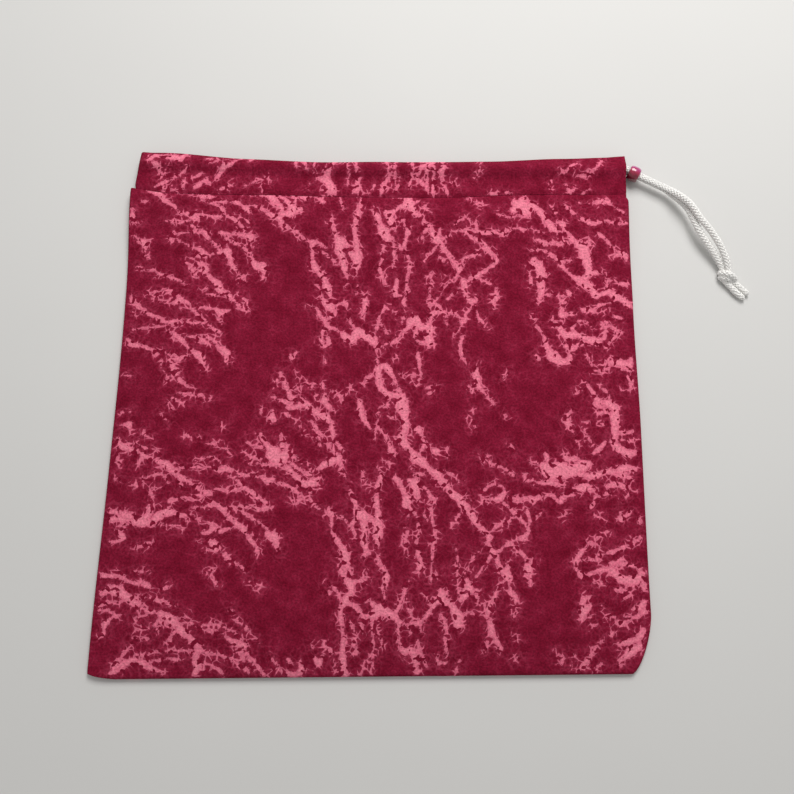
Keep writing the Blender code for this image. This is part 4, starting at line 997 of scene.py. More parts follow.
61 -130 1.5, 60 -136 0.8
73 -101 2, 73 -105 2.5, 76 -108 2.5, 76 -113 1.2, 75 -118 0.8
75 -127 0.8, 76 -130 0.8
77 -139 0.8, 75 -141 1.2
114 -108 3, 111 -111 3, 112 -115 6, 115 -113 4
110 -119 2, 116 -118 1.5
117 -122 1.5, 121 -121 1
119 -77 1, 115 -80 1.5, 112 -84 2.5, 109 -88 2.5, 109 -93 2.5, 112 -97 3, 116 -96 2, 120 -94 2, 125 -93 3
125 -93 3, 129 -94 4, 133 -98 5, 138 -99 5, 143 -98 5, 146 -95 3, 143 -92 2, 139 -91 2, 135 -90 3, 131 -91 2
146 -101 4, 146 -105 2
108 -89 1, 116 -88 1.5, 122 -88 1
146 -76 2, 140 -79 2.5, 134 -82 2, 128 -84 2, 121 -86 1
117 -80 1.2, 123 -82 1
134 -88 3, 128 -90 1.5
130 -104 2, 135 -103 1.5, 140 -102 1.5
133 -107 2, 138 -107 2
118 -100 1.2, 125 -101 1.2
146 -110 3, 143 -113 3.5, 138 -114 1.5
146 -115 3, 141 -118 1.5, 134 -117 1.2
122 -112 1, 125 -117 1.5, 129 -118 1.2
130 -121 3, 134 -121 3, 137 -120 1.5
127 -127 2.5, 129 -126 1.5
145 -124 3, 143 -128 4, 139 -130 3, 135 -131 4, 131 -132 3
142 -133 4, 138 -135 5, 134 -138 4, 131 -140 2
133 -142 1.5, 130 -144 1
122 -130 1, 118 -134 1.5, 115 -139 1.8, 111 -143 2, 109 -146 1.2
114 -142 1, 116 -145 1
121 -142 2, 119 -145 1.5
98 -137 1, 101 -139 2, 100 -142 2
107 -138 2.5, 106 -137 1
105 -145 1.5, 105 -143 1
"""
casingVeins = """
-137 143 3, -134 146 3, -128 145 3, -123 144 5, -119 143 5, -116 146 3
-136 141 2, -132 139 3, -130 134 2, -131 131 1.5, -128 134 1.5, -125 138 1.5, -124 141 2
-133 126 1.5, -129 128 2, -124 130 1.5, -120 132 1, -117 134 2, -115 136 1.5
-116 131 1, -115 128 1.2, -117 124 1
-122 127 1, -128 125 2
-109 125 2, -106 127 3, -103 129 3, -100 127 2
-109 131 1.2, -105 134 1.5
-96 130 1.5, -94 134 2, -91 138 4, -88 138 2, -85 141 1.8, -82 143 1.5
-102 142 1, -95 142 1
-94 123 1, -89 125 1.5, -86 127 1
-76 141 1, -75 143 1
-79 125 1.5, -76 127 1.5, -72 129 1, -70 130 1
-69 125 1, -69 122 1
-66 130 1, -64 128 1
-49 140 1, -48 138 0.8
-44 140 2.5, -43 137 1.5, -43 135 0.8
-38 141 1, -39 136 1, -38 131 2, -34 130 3, -31 129 5, -29 126 5, -27 123 5, -31 123 3
-31 132 4, -30 136 2.5, -27 140 2.5, -24 142 3, -28 142 2
-42 124 1, -41 127 0.8
-20 142 1, -19 137 2, -18 132 1, -19 127 1
-14 141 2.5, -14 137 1.5, -13 132 1.5, -13 127 3.5, -12 123 3, -14 123 3
-5 124 1.5, -3 127 1
4 142 2, 5 138 1.5, 7 134 2, 4 130 2, 2 125 3, 1 122 2
9 143 1, 9 136 1, 9.5 128 1.2, 10 122 1.2
12 132 1, 12 126 1.5
17 143 3, 19 141 2.5, 20 137 1, 18 129 0.8, 17 125 0.8
27 142 4, 32 143 4, 29 139 3, 26 140 3, 24 136 2, 23 132 2, 26 127 2
28 136 2.5, 28 131 2.5, 28 125 2.5, 29 122 1.5
32 138 2, 32 132 2, 32 126 3, 32 123 3
37 142 2, 38 138 3, 36 135 3, 37 130 2.5, 39 125 2, 40 122 1.5
44 131 1, 46 125 0.8
60 142 0.8, 59 137 1.2, 57 132 0.6
66 123 2.5, 69 122.5 2
75 124 1.5, 76 122 1
108 138 2, 111 137 1.5, 113 141 1, 118 144 0.8
111 130 1.5, 113 126 3, 115 127 1.5
117 136 1, 122 136 2.5, 126 138 2, 129 141 1.5, 132 145 1, 134 148 1
120 124 1, 124 128 1
102 132 0.8, 101 128 0.8
"""


def veinField(along, up, text, shift):
    # how far each cloth point is inside the nearest vein, in mm, and negative outside it
    order = np.argsort(up)
    u, y = along[order] - shift[0], up[order] - shift[1]
    field = np.full(len(u), -ink["reach"])
    for line in text.strip().splitlines():
        bends = [[float(number) for number in bend.split()] for bend in line.split(",")]
        for (x0, y0, w0), (x1, y1, w1) in zip(bends, bends[1:]):
            first = np.searchsorted(y, min(y0, y1) - ink["reach"])
            last = np.searchsorted(y, max(y0, y1) + ink["reach"])
            du, dy = u[first:last] - x0, y[first:last] - y0
            longX, longY = x1 - x0, y1 - y0
            t = np.clip((du * longX + dy * longY) / (longX ** 2 + longY ** 2), 0, 1)
            away = np.hypot(du - t * longX, dy - t * longY)
            half = np.maximum(w0 + (w1 - w0) * t, ink["thinnest"]) / 2
            soft = ink["rounding"]
            inside = np.hypot(half, soft) - np.hypot(away, soft)
            field[first:last] = np.maximum(field[first:last], inside)
    result = np.empty_like(field)
    result[order] = field
    return result


def markVeins(piece, text, shifts):
    # writes the print's field on the cloth, with the same drawing carried on round the fold to the back
    mesh = piece.data
    cloth = np.empty(len(mesh.vertices) * 3)
    mesh.attributes["cloth"].data.foreach_get("vector", cloth)
    cloth = cloth.reshape(-1, 3) * 1000
    field = np.full(len(cloth), -ink["reach"])
    for shift in shifts:
        field = np.maximum(field, veinField(cloth[:, 0], cloth[:, 1], text, shift))
    mesh.attributes.new("vein", "FLOAT", "POINT").data.foreach_set("value", field)


def flannelMaterial():
    # cotton flannel, dyed burgundy, overprinted in pink and brushed. that gives a matt cloth with
    # a short fuzzy nap, and a print whose edges are ragged where the ink broke over the nap
    material, tree, shader = newMaterial("brushed cotton flannel", {
        "Roughness": 0.95, "Specular IOR Level": 0.05, "Sheen Weight": 0.06, "Sheen Roughness": 0.6,
        "Sheen Tint": linearColour(ink["sheen"])})
    cloth = add(tree, "ShaderNodeAttribute", attribute_name="cloth").outputs["Vector"]
    vein = add(tree, "ShaderNodeAttribute", attribute_name="vein").outputs["Fac"]
    mm = add(tree, "ShaderNodeVectorMath", {0: cloth, "Scale": 1000.0}, operation="SCALE")
    # ragged edges: breaks of about 2 mm and finer
    ragged = add(tree, "ShaderNodeTexNoise", {"Vector": mm, **ink["edgeNoise"]})
    edge = add(tree, "ShaderNodeMath", {0: ragged, 1: ink["ragged"], 2: vein}, operation="MULTIPLY_ADD")
    edge = add(tree, "ShaderNodeMath", {0: edge, 1: ink["ragged"] / 2}, operation="SUBTRACT")
    # bare specks of the ground inside the wide veins, about 2 mm
    specks = add(tree, "ShaderNodeTexNoise", {"Vector": mm, **ink["speckNoise"]})
    bare = add(tree, "ShaderNodeMapRange", {"Value": specks, **ink["speckRange"]})
    # lace: a broken net of threads round islands of about 4 mm, which thins out away from the veins
    sway = add(tree, "ShaderNodeTexNoise", {"Vector": mm, **ink["swayNoise"]}).outputs[1]
    swayed = add(tree, "ShaderNodeVectorMath", {0: sway, 1: ink["laceSway"], 2: mm}, operation="MULTIPLY_ADD")
    cells = add(tree, "ShaderNodeTexVoronoi", {"Vector": swayed, "Scale": ink["laceScale"]},
                feature="DISTANCE_TO_EDGE", voronoi_dimensions="2D")
    broken = add(tree, "ShaderNodeTexNoise", {"Vector": mm, **ink["breakNoise"]})
    lace = ink["thread"]
    for value, slope in ((cells, -ink["laceSlope"]), (vein, ink["laceFade"]), (broken, ink["laceBreak"])):
        lace = add(tree, "ShaderNodeMath", {0: value, 1: slope, 2: lace}, operation="MULTIPLY_ADD")
    lace = add(tree, "ShaderNodeMath", {0: lace, 1: ink["laceBreak"] / 2}, operation="SUBTRACT")
    both = add(tree, "ShaderNodeMath", {0: edge, 1: lace}, operation="MAXIMUM")
    inked = add(tree, "ShaderNodeMath", {0: both, 1: bare}, operation="SUBTRACT")
    # burgundy ground, mottled over about 5 mm and finer
    mottle = add(tree, "ShaderNodeTexNoise", {"Vector": mm, **ink["mottleNoise"]})
    ground = add(tree, "ShaderNodeValToRGB", {"Fac": mottle})
    setColours(ground, ink["ground"])
    # fine cracks of weaker pink near the veins, under 1 mm wide
    web = add(tree, "ShaderNodeTexNoise", {"Vector": mm, **ink["crackNoise"]})
    ridge = add(tree, "ShaderNodeMath", {0: web, 1: 0.5}, operation="SUBTRACT")
    ridge = add(tree, "ShaderNodeMath", {0: ridge}, operation="ABSOLUTE")
    crack = add(tree, "ShaderNodeMapRange", {"Value": ridge, **ink["crackRange"]})
    near = add(tree, "ShaderNodeMapRange", {"Value": vein, **ink["crackReach"]})
    faint = add(tree, "ShaderNodeMath", {0: crack, 1: near}, operation="MULTIPLY")
    inputs = {"Fac": faint, "Color1": ground, "Color2": linearColour(ink["crack"])}
    cracked = add(tree, "ShaderNodeMixRGB", inputs)
    # the pink: weak at the ragged rim and on thin veins, full where a vein is wide
    halo = add(tree, "ShaderNodeMapRange", {"Value": inked, **ink["rimRange"]})
    inputs = {"Fac": halo, "Color1": cracked, "Color2": linearColour(ink["rim"])}
    rim = add(tree, "ShaderNodeMixRGB", inputs)
    strength = add(tree, "ShaderNodeMapRange", {"Value": inked, **ink["pinkRange"]})
    pink = add(tree, "ShaderNodeValToRGB", {"Fac": strength})
    setColours(pink, ink["pinks"])
    mask = add(tree, "ShaderNodeMapRange", {"Value": inked, **ink["printEdge"]})
    printed = add(tree, "ShaderNodeMixRGB", {"Fac": mask, "Color1": rim, "Color2": pink})
    # nap: tufts of about half a millimetre, coarser than the real fibres so that they show
    nap = add(tree, "ShaderNodeTexNoise", {"Vector": mm, **ink["napNoise"]})
    tuft = add(tree, "ShaderNodeMapRange", {"Value": nap, **ink["napRange"]})
    finish = add(tree, "ShaderNodeVectorMath", {0: printed, "Scale": tuft}, operation="SCALE")
    tree.links.new(finish.outputs[0], shader.inputs["Base Color"])
    bump = add(tree, "ShaderNodeBump", {"Height": nap, "Strength": 0.55, "Distance": 0.0006})
    tree.links.new(bump.outputs[0], shader.inputs["Normal"])
    return material


flannel = flannelMaterial()
body = makeBody(flannel)
casing = makeCasing(flannel)
markVeins(body, bodyVeins, [(0, 0), (-300, 50), (-300, -227)])
markVeins(casing, casingVeins, [(0, 0), (-300, 0)])
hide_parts("bag_body")
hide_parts("casing_band")
for piece in (body, casing):
    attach(piece, "bag")
print("cloth made:", len(body.data.polygons), len(casing.data.polygons))

# the drawcord: its front and back halves leave the casing, pass the bead and end in one knot
cord = {
    "diameter": 0.0035,
    "tailEnd": 0.0029,
    "tailApart": 0.0019,
    "tailTaper": 0.012,  # how far from its end the cord starts to thin
    "endRound": 0.0024,
    "leastEnd": 0.02,
    "pinchedHeight": 0.0019,  # across both flattened sides, where the bead slides
    "pinchFade": 0.0090,
    "steepest": 0.5,  # a stretch counts as level while this share of it runs sideways
    "levelling": (0.8, 0.2),  # how much of the last step's direction is kept, and how much is level
    "yarns": 6,  # going each way round
    "lead": 0.0130,  # one turn of a yarn
    "yarnHalfWidth": 0.00070,
    "yarnHalfHeight": 0.00034,
    "yarnSides": 6,
    "sink": 1.75,  # a yarn's middle under the surface, in half heights of a yarn
    "swing": 1.15,  # its way over and under the others, in the same
    "thinBelow": 0.0011,  # yarns get thinner where the cord's half height is less
    "leastHalf": 0.00005,
    "step": 0.0005,
    "bendSteps": 16,  # steps of the smooth line between two points of a route
    "coreShare": 0.70,  # the core's radius as a share of the cord's
    "coreSides": 10,
    "white": ("#F6F4F1", "#FFFEFC"),
    # the held cord's white, and the grey of painted shade in the gaps between its yarns
    "heldWhiteAndGapShade": ("#A8A29C", "#EFECE8"),
}
knot = {
    "centre": Vector((0.2052, 0.0756, 0.0000)),
    "turn": -62,
    "reach": 0.00036,  # along the cord
    "spread": 0.00088,  # across it
    "lowest": 0.0014,
    "climb": 0.00100,
    "apart": 0.00125,
    "radius": 0.00150,
    "offTable": 0.0008,
    "round": 0.006,  # the cord is round this near to the middle
    "fade": 0.004,
    "points": 15,
    "span": 1.75,  # how far the trefoil's parameter runs to each side
    "trefoil": (3.6, 4, 10),
}
bead = {
    "centre": Vector((0.1530, 0.1402, 0.0053)),
    "turn": -27,
    "travel": 0.018,
    "diameter": 0.0090,
    "length": 0.0064,
    "bore": 0.0054,
    "lip": 0.0008,
    "bulge": 0.95,  # less than 1 makes the sides fuller
    "sideSteps": 24,
    "boreSteps": 12,
    "sides": 72,
    # painted light: the bead's colour turns from crimson to lilac along this side, towards the lamp, and
    # darkens to painted shade away from it
    "paintedLightSide": (0.50, 0.80, 0.15),
    "paintedLightSlope": 0.11,
    "shadedToLitTones": ((0.12, "#7C0628"), (0.50, "#AE1048"), (0.74, "#B02E74"), (0.95, "#C460A0")),
}
frontRoute = [
    (0.1465, 0.1429, 0.0073), (0.1485, 0.1424, 0.0075), (0.1503, 0.1415, 0.0066), (0.1530, 0.1402, 0.0064),
    (0.1560, 0.1387, 0.0064), (0.1600, 0.1367, 0.0064), (0.1660, 0.1336, 0.0065), (0.1712, 0.1309, 0.0066),
    (0.1752, 0.1279, 0.0077), (0.1793, 0.1238, 0.0094), (0.1835, 0.1194, 0.0102), (0.1863, 0.1151, 0.0105),
    (0.1892, 0.1100, 0.0104), (0.1942, 0.1036, 0.0098), (0.1987, 0.0969, 0.0088), (0.2011, 0.0929, 0.0080),
    (0.2034, 0.0881, 0.0069), (0.2049, 0.0841, 0.0060)]
backRoute = [
    (0.1465, 0.1429, 0.0028), (0.1485, 0.1424, 0.0033), (0.1503, 0.1415, 0.0040), (0.1530, 0.1402, 0.0042),
    (0.1560, 0.1387, 0.0042), (0.1600, 0.1367, 0.0042), (0.1660, 0.1337, 0.0042), (0.1713, 0.1309, 0.0043),
    (0.1757, 0.1272, 0.0046), (0.1797, 0.1231, 0.0054), (0.1830, 0.1186, 0.0065), (0.1850, 0.1144, 0.0070),
    (0.1881, 0.1062, 0.0072), (0.1911, 0.1001, 0.0066), (0.1945, 0.0952, 0.0059), (0.1984, 0.0895, 0.0048),
    (0.2009, 0.0855, 0.0040)]
tailRoute = [
    (0.2086, 0.0716, 0.0026), (0.2110, 0.0690, 0.0021), (0.2138, 0.0665, 0.0019), (0.2164, 0.0643, 0.0019)]
beadAxis = Vector((math.cos(math.radians(bead["turn"])), math.sin(math.radians(bead["turn"])), 0))
upwards = Vector((0, 0, 1))


def smoothPath(points, spacing):
    # a smooth line through the points, sampled evenly
    points = [Vector(p) for p in points]
    dense = []
    for i in range(len(points) - 1):
        p0 = points[i - 1] if i else points[0] * 2 - points[1]
        p3 = points[i + 2] if i + 2 < len(points) else points[-1] * 2 - points[-2]
        p1, p2 = points[i], points[i + 1]
        for j in range(cord["bendSteps"]):
            t = j / cord["bendSteps"]
            dense.append((p1 * 2 + (p2 - p0) * t + (p0 * 2 - p1 * 5 + p2 * 4 - p3) * t ** 2
                          + (p1 * 3 - p0 - p2 * 3 + p3) * t ** 3) / 2)
    dense.append(points[-1])
    lengths = [0.0]
    for a, b in zip(dense, dense[1:]):
        lengths.append(lengths[-1] + (b - a).length)
    count = max(2, round(lengths[-1] / spacing))
    path, at = [], 0
    for k in range(count + 1):
        want = lengths[-1] * k / count
        while at < len(dense) - 2 and lengths[at + 1] < want:
            at += 1
        run = max(1e-9, lengths[at + 1] - lengths[at])
        path.append(dense[at].lerp(dense[at + 1], (want - lengths[at]) / run))
    return path


def knotRoutes():
    # an overhand knot tied in both strands at once, from a polynomial trefoil
    turn = math.radians(knot["turn"])
    ahead = Vector((math.cos(turn), math.sin(turn), 0))
    aside = Vector((-ahead.y, ahead.x, 0))
    last = knot["points"] - 1
    a, b, c = knot["trefoil"]
    middle = []
    for i in range(knot["points"]):
        t = -knot["span"] + 2 * knot["span"] * i / last
        x, y, z = t ** 3 - a * t, t ** 4 - b * t ** 2, t ** 5 - c * t
        rise = knot["lowest"] + knot["climb"] * (y + b ** 2 / 4)
        middle.append(knot["centre"] + ahead * (knot["reach"] * z) + aside * (knot["spread"] * x)
                      + Vector((0, 0, rise)))
    offset = Vector((0, 0, 1.0))
    strands = [], []
    for i, point in enumerate(middle):
        along = (middle[min(i + 1, last)] - middle[max(i - 1, 0)]).normalized()
        offset = (offset - along * offset.dot(along)).normalized()
        for strand, side in zip(strands, (1, -1)):
            spot = point + offset * (side * knot["apart"])
            spot.z = max(spot.z, knot["radius"] + knot["offTable"])
            strand.append(spot)
    return strands


def cordSections(path, total):
    # half width and half height of the cord along its path, and the direction across it
    sizes = []
    far = bead["travel"] + bead["length"] / 2
    kept, turned = cord["levelling"]
    small = cord["tailEnd"] / 2
    gone = 0.0
    for i, point in enumerate(path):
        if i:
            gone += (point - path[i - 1]).length
        past = (point - bead["centre"]).dot(beadAxis) - far
        wide = cord["diameter"] / 2
        tall = blend(cord["pinchedHeight"], cord["diameter"], smoothStep(past / cord["pinchFade"])) / 2
        inKnot = 1 - smoothStep(((point - knot["centre"]).length - knot["round"]) / knot["fade"])
        wide, tall = blend(wide, knot["radius"], inKnot), blend(tall, knot["radius"], inKnot)
        left = total - gone
        if left < cord["tailTaper"]:
            share = left / cord["tailTaper"]
            wide, tall = min(wide, blend(small, wide, share)), min(tall, blend(small, tall, share))
        end = math.sqrt(max(cord["leastEnd"], 1 - (1 - min(1.0, left / cord["endRound"])) ** 2))
        ahead = path[min(i + 1, len(path) - 1)] - path[max(i - 1, 0)]
        sideways = ahead.cross(upwards)
        if i == 0:
            across = sideways.normalized()
        else:  # carried along without twisting, and level again on open stretches
            along = ahead.normalized()
            carried = (across - along * across.dot(along)).normalized()
            isOpen = sideways.length > ahead.length * cord["steepest"] and inKnot < 0.01
            level = sideways.normalized() if isOpen else carried
            if level.dot(carried) < 0:
                level = -level
            across = (carried * kept + level * turned).normalized()
        sizes.append((wide * end, tall * end, across.copy()))
    return sizes


def braidTree():
    # winds yarns both ways round a route, each passing over and under the others
    tree = bpy.data.node_groups.new("braided cord", "GeometryNodeTree")
    for name, kind in (("Route", "Geometry"), ("Yarns", "Int"), ("Lead", "Float"), ("Half Width", "Float"),
                       ("Half Height", "Float"), ("Step", "Float"), ("Material", "Material")):
        tree.interface.new_socket(name, in_out="INPUT", socket_type="NodeSocket" + kind)
    tree.interface.new_socket("Cord", in_out="OUTPUT", socket_type="NodeSocketGeometry")
    given = add(tree, "NodeGroupInput").outputs
    line = add(tree, "GeometryNodeMeshToCurve", {"Mesh": given["Route"]})
    even = add(tree, "GeometryNodeResampleCurve", {"Curve": line, "Length": given["Step"]}, mode="LENGTH")
    both = add(tree, "ShaderNodeMath", {0: given["Yarns"], 1: 2.0}, operation="MULTIPLY")
    inputs = {"Geometry": even, "Amount": both}
    copies = add(tree, "GeometryNodeDuplicateElements", inputs, domain="SPLINE").outputs
    # the first half of the yarns goes one way round, the second half the other
    first = add(tree, "ShaderNodeMath", {0: copies[1], 1: given["Yarns"]}, operation="LESS_THAN")
    way = add(tree, "ShaderNodeMath", {0: first, 1: 2.0, 2: -1.0}, operation="MULTIPLY_ADD")
    gone = add(tree, "GeometryNodeSplineParameter").outputs["Length"]
    turns = add(tree, "ShaderNodeMath", {0: gone, 1: given["Lead"]}, operation="DIVIDE")
    start = add(tree, "ShaderNodeMath", {0: copies[1], 1: given["Yarns"]}, operation="DIVIDE")
    share = add(tree, "ShaderNodeMath", {0: turns, 1: way, 2: start}, operation="MULTIPLY_ADD")
    angle = add(tree, "ShaderNodeMath", {0: share, 1: math.tau}, operation="MULTIPLY")
    cosine = add(tree, "ShaderNodeMath", {0: angle}, operation="COSINE")
    sine = add(tree, "ShaderNodeMath", {0: angle}, operation="SINE")
    inputs = {"Name": "across"}
    across = add(tree, "GeometryNodeInputNamedAttribute", inputs, data_type="FLOAT_VECTOR")
    along = add(tree, "GeometryNodeInputTangent")
    over = add(tree, "ShaderNodeVectorMath", {0: along, 1: across}, operation="CROSS_PRODUCT")
    # a yarn's middle lies under the cord's surface by its own height and its swing
    sink = add(tree, "ShaderNodeMath", {0: given["Half Height"], 1: -cord["sink"]}, operation="MULTIPLY")
    halves = []
    for name in ("wide", "tall"):
        half = add(tree, "GeometryNodeInputNamedAttribute", {"Name": name}, data_type="FLOAT")
        sunk = add(tree, "ShaderNodeMath", {0: half, 1: sink}, operation="ADD")
        halves.append(add(tree, "ShaderNodeMath", {0: sunk, 1: cord["leastHalf"]}, operation="MAXIMUM"))
    tall = half
    # the place on the cord's oval, and the way that the oval faces there
    spots = []
    for first, second in (halves, halves[::-1]):
        part = add(tree, "ShaderNodeMath", {0: cosine, 1: first}, operation="MULTIPLY")
        sideways = add(tree, "ShaderNodeVectorMath", {0: across, "Scale": part}, operation="SCALE")
        part = add(tree, "ShaderNodeMath", {0: sine, 1: second}, operation="MULTIPLY")
        upright = add(tree, "ShaderNodeVectorMath", {0: over, "Scale": part}, operation="SCALE")
        spots.append(add(tree, "ShaderNodeVectorMath", {0: sideways, 1: upright}, operation="ADD"))
    facing = add(tree, "ShaderNodeVectorMath", {0: spots[1]}, operation="NORMALIZE")
    beat = add(tree, "ShaderNodeMath", {0: turns, 1: given["Yarns"]}, operation="MULTIPLY")
    beat = add(tree, "ShaderNodeMath", {0: beat, 1: math.tau}, operation="MULTIPLY")
    swing = add(tree, "ShaderNodeMath", {0: beat}, operation="COSINE")
    for share in (way, given["Half Height"], cord["swing"]):
        swing = add(tree, "ShaderNodeMath", {0: swing, 1: share}, operation="MULTIPLY")
    lift = add(tree, "ShaderNodeVectorMath", {0: facing, "Scale": swing}, operation="SCALE")
    shift = add(tree, "ShaderNodeVectorMath", {0: spots[0], 1: lift}, operation="ADD")
    inputs = {"Geometry": copies[0], "Name": "outward", "Value": facing}
    kept = add(tree, "GeometryNodeStoreNamedAttribute", inputs, data_type="FLOAT_VECTOR")
    thin = add(tree, "ShaderNodeMath", {0: tall, 1: cord["thinBelow"]}, operation="DIVIDE")
    thin = add(tree, "ShaderNodeMath", {0: thin, 1: 1.0}, operation="MINIMUM")
    inputs = {"Geometry": kept, "Name": "thin", "Value": thin}
    kept = add(tree, "GeometryNodeStoreNamedAttribute", inputs)
    wound = add(tree, "GeometryNodeSetPosition", {"Geometry": kept, "Offset": shift})
    inputs = {"Name": "outward"}
    outward = add(tree, "GeometryNodeInputNamedAttribute", inputs, data_type="FLOAT_VECTOR")
    turned = add(tree, "GeometryNodeSetCurveNormal", {"Curve": wound, "Normal": outward}, mode="FREE")
    ring = add(tree, "GeometryNodeCurvePrimitiveCircle", {"Resolution": cord["yarnSides"], "Radius": 1.0})
    size = add(tree, "ShaderNodeCombineXYZ", {0: given["Half Width"], 1: given["Half Height"], 2: 1.0})
    lens = add(tree, "GeometryNodeTransform", {"Geometry": ring, "Scale": size})
    scale = add(tree, "GeometryNodeInputNamedAttribute", {"Name": "thin"}, data_type="FLOAT")
    inputs = {"Curve": turned, "Profile Curve": lens, "Scale": scale, "Fill Caps": True}
    yarns = add(tree, "GeometryNodeCurveToMesh", inputs)
    real = add(tree, "GeometryNodeRealizeInstances", {"Geometry": yarns})
    dressed = add(tree, "GeometryNodeSetMaterial", {"Geometry": real, "Material": given["Material"]})
    add(tree, "NodeGroupOutput", {0: dressed})
    return tree


def addCore(bm, path, sections):
    # a plain tube under the yarns, closed at both ends
    rings = []
    for point, (wide, tall, across), ahead in zip(path, sections, path[1:] + [path[-1] * 2 - path[-2]]):
        over = (ahead - point).normalized().cross(across)
        line = []
        for k in range(cord["coreSides"]):
            angle = math.tau * k / cord["coreSides"]
            line.append(bm.verts.new(point + across * (math.cos(angle) * wide * cord["coreShare"])
                                     + over * (math.sin(angle) * tall * cord["coreShare"])))
        rings.append(line)
    for line, following in zip(rings, rings[1:]):
        for k in range(cord["coreSides"]):
            bm.faces.new((line[k - 1], line[k], following[k], following[k - 1]))
    bm.faces.new(rings[0][::-1])
    bm.faces.new(rings[-1])


def makeCord(name, points, tree, material):
    path = smoothPath(points, cord["step"])
    total = sum((b - a).length for a, b in zip(path, path[1:]))
    sections = cordSections(path, total)
    line = bpy.data.meshes.new(name + "Line")
    line.from_pydata(path, [(i, i + 1) for i in range(len(path) - 1)], [])
    across = [c for section in sections for c in section[2]]
    line.attributes.new("across", "FLOAT_VECTOR", "POINT").data.foreach_set("vector", across)
    for i, half in enumerate(("wide", "tall")):
        values = [section[i] for section in sections]
        line.attributes.new(half, "FLOAT", "POINT").data.foreach_set("value", values)
    draft = bpy.data.objects.new(name + "Draft", line)
    bpy.context.scene.collection.objects.link(draft)
    wind = draft.modifiers.new("braid", "NODES")
    wind.node_group = tree
    sockets = {item.name: item.identifier for item in tree.interface.items_tree if item.in_out == "INPUT"}
    values = {"Yarns": cord["yarns"], "Lead": cord["lead"], "Half Width": cord["yarnHalfWidth"],
              "Half Height": cord["yarnHalfHeight"], "Step": cord["step"], "Material": material}
    for socket, value in values.items():
        wind[sockets[socket]] = value
    graph = bpy.context.evaluated_depsgraph_get()
    mesh = bpy.data.meshes.new_from_object(draft.evaluated_get(graph))
    bpy.data.objects.remove(draft)
    bm = bmesh.new()
    bm.from_mesh(mesh)
    yarnFaces = len(bm.faces)
    addCore(bm, path, sections)
    bmesh.ops.recalc_face_normals(bm, faces=bm.faces)
    bm.to_mesh(mesh)
    bm.free()
    mesh.name = name
    for spare in ("across", "wide", "tall", "outward", "thin"):
        if spare in mesh.attributes:
            mesh.attributes.remove(mesh.attributes[spare])
    mesh.shade_smooth()
    piece = newPiece(name, mesh, material)
    print(name, "made:", round(total, 4), "m,", yarnFaces, "faces")
    return piece, path, total


def cordMaterial():
    # braided polyester cord, heat-set and left white: bright soft yarns, dark in the gaps between
    # them, with the fine lengthwise glint of filament yarn
    material, tree, shader = newMaterial("braided polyester cord", {
        "Roughness": 0.55, "Specular IOR Level": 0.35, "Sheen Weight": 0.15})
    where = add(tree, "ShaderNodeTexCoord").outputs["Object"]
    mm = add(tree, "ShaderNodeVectorMath", {0: where, "Scale": 1000.0}, operation="SCALE")
    cloudy = add(tree, "ShaderNodeTexNoise", {"Vector": mm, "Scale": 0.5, "Detail": 3.0})
    inputs = {"Vector": mm, "Scale": 7.0, "Detail": 3.0, "Roughness": 0.7}
    filaments = add(tree, "ShaderNodeTexNoise", inputs)
    dull, bright = [linearColour(c) for c in cord["white"]]
    tint = add(tree, "ShaderNodeMixRGB", {"Fac": cloudy, "Color1": dull, "Color2": bright})
    tree.links.new(tint.outputs[0], shader.inputs["Base Color"])
    bump = add(tree, "ShaderNodeBump", {"Height": filaments, "Strength": 0.35, "Distance": 0.00012})
    tree.links.new(bump.outputs[0], shader.inputs["Normal"])
    return material


def heldCordMaterial():
    # the same cord where the casing hides it: the yarns are only a bump, about 2 mm apart, with painted shade
    # in the gaps between them
    material, tree, shader = newMaterial("held polyester cord", {"Roughness": 0.6})
    where = add(tree, "ShaderNodeTexCoord").outputs["Object"]
    ways = []
    for lean in (500.0, -500.0):
        slope = add(tree, "ShaderNodeMapping", {"Vector": where, "Scale": (lean, 900.0, 900.0)})
        inputs = {"Vector": slope, "Scale": 0.5}
        ways.append(add(tree, "ShaderNodeTexWave", inputs, bands_direction="DIAGONAL").outputs[1])
    lozenge = add(tree, "ShaderNodeMath", dict(enumerate(ways)), operation="MULTIPLY")
    # painted shade: the white darkens to grey in the gaps between the yarns
    dark, light = [linearColour(c) for c in cord["heldWhiteAndGapShade"]]
    tint = add(tree, "ShaderNodeMixRGB", {"Fac": lozenge, "Color1": dark, "Color2": light})
    tree.links.new(tint.outputs[0], shader.inputs["Base Color"])
    bump = add(tree, "ShaderNodeBump", {"Height": lozenge, "Strength": 0.6, "Distance": 0.0004})
    tree.links.new(bump.outputs[0], shader.inputs["Normal"])
    return material


whiteCord = cordMaterial()
braid = braidTree()
intoFront, intoBack = knotRoutes()
tailAhead = (Vector(tailRoute[-1]) - Vector(tailRoute[0])).normalized()
tailSide = tailAhead.cross(upwards).normalized()
goesTo = 1 if (intoFront[-1] - intoBack[-1]).dot(tailSide) > 0 else -1
frontTail = [Vector(p) + tailSide * (cord["tailApart"] * goesTo) for p in tailRoute[1:]]
backTail = [Vector(p) - tailSide * (cord["tailApart"] * goesTo) for p in tailRoute[1:]]
wholeFront, wholeBack = frontRoute + intoFront + frontTail, backRoute + intoBack + backTail
frontCord, frontPath, frontLength = makeCord("frontCord", wholeFront, braid, whiteCord)
backCord, backPath, backLength = makeCord("backCord", wholeBack, braid, whiteCord)


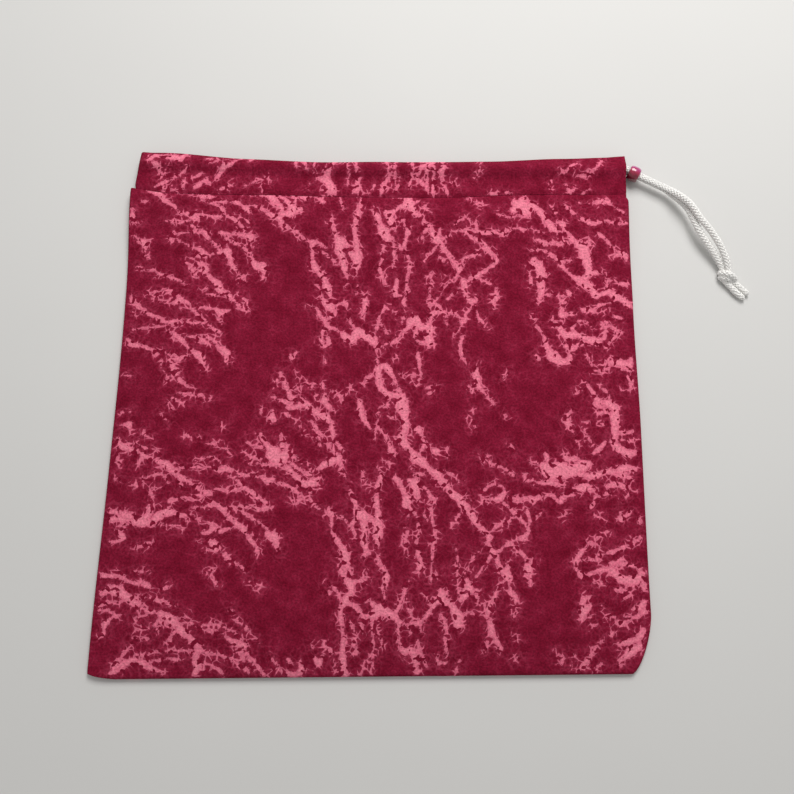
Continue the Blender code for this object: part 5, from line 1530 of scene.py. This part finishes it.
def pearlMaterial():
    # moulded ruby acrylic with pearl pigment: clear gloss over deep crimson, with swirls of the pigment.
    # the colour runs from crimson to lilac towards the upper side that points away from the bag's bottom:
    # painted light on the lamp's side and painted shade on the other
    material, tree, shader = newMaterial("pearl acrylic", {
        "Roughness": 0.28, "IOR": 1.49, "Specular IOR Level": 0.6, "Coat Weight": 1.0, "Coat Roughness": 0.06,
        "Subsurface Weight": 0.15, "Subsurface Radius": (0.004, 0.0006, 0.0012)})
    where = add(tree, "ShaderNodeTexCoord").outputs["Object"]
    mm = add(tree, "ShaderNodeVectorMath", {0: where, "Scale": 1000.0}, operation="SCALE")
    inputs = {"Vector": mm, "Scale": 0.30, "Detail": 2.0, "Distortion": 0.8}
    swirl = add(tree, "ShaderNodeTexNoise", inputs)
    middle = tuple(c * 1000 for c in bead["centre"])
    offset = add(tree, "ShaderNodeVectorMath", {0: mm, 1: middle}, operation="SUBTRACT")
    # painted light and shade: lighter along this direction, towards the lamp, darker away from it
    inputs = {0: offset, 1: bead["paintedLightSide"]}
    side = add(tree, "ShaderNodeVectorMath", inputs, operation="DOT_PRODUCT").outputs["Value"]
    pearl = add(tree, "ShaderNodeMath", {0: side, 1: bead["paintedLightSlope"], 2: swirl}, operation="MULTIPLY_ADD")
    tone = add(tree, "ShaderNodeValToRGB", {"Fac": pearl})
    setColours(tone, bead["shadedToLitTones"])
    tree.links.new(tone.outputs[0], shader.inputs["Base Color"])
    return material


def makeBead(material):
    # turned from its section: bulging sides, rounded lips and a bore that flares at its ends
    halfLong, outer, bore = bead["length"] / 2, bead["diameter"] / 2, bead["bore"] / 2
    section = []
    for i in range(bead["sideSteps"] + 1):  # outside, from one lip to the other
        angle = math.pi * (i / bead["sideSteps"] - 0.5)
        rise = math.cos(angle) ** bead["bulge"]
        section.append((math.sin(angle) * halfLong, blend(bore + bead["lip"], outer, rise)))
    for i in range(1, bead["boreSteps"]):  # bore, back again
        share = 1 - 2 * i / bead["boreSteps"]
        flare = bead["lip"] * abs(share) ** 2
        section.append((share * halfLong, bore + flare))
    side = upwards.cross(beadAxis)
    bm = bmesh.new()
    rings = []
    for k in range(bead["sides"]):
        angle = math.tau * k / bead["sides"]
        outwards = side * math.cos(angle) + upwards * math.sin(angle)
        rings.append([bm.verts.new(bead["centre"] + beadAxis * a + outwards * r) for a, r in section])
    for k in range(bead["sides"]):
        line, following = rings[k - 1], rings[k]
        for i in range(len(section)):
            bm.faces.new((line[i - 1], line[i], following[i], following[i - 1]))
    return newPiece("pearlBead", meshFrom(bm, "pearlBead"), material)


pearlBead = makeBead(pearlMaterial())
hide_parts("cord_bead")
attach(pearlBead, "bead")
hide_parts("drawcord_front_strand", "drawcord_front_tail", "drawcord_knot")
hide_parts("drawcord_back_strand", "drawcord_back_tail")
for piece in (frontCord, backCord):
    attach(piece, "bag")
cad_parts["drawcord_in_casing"].material_slots[0].material = heldCordMaterial()
print("cord and bead made")
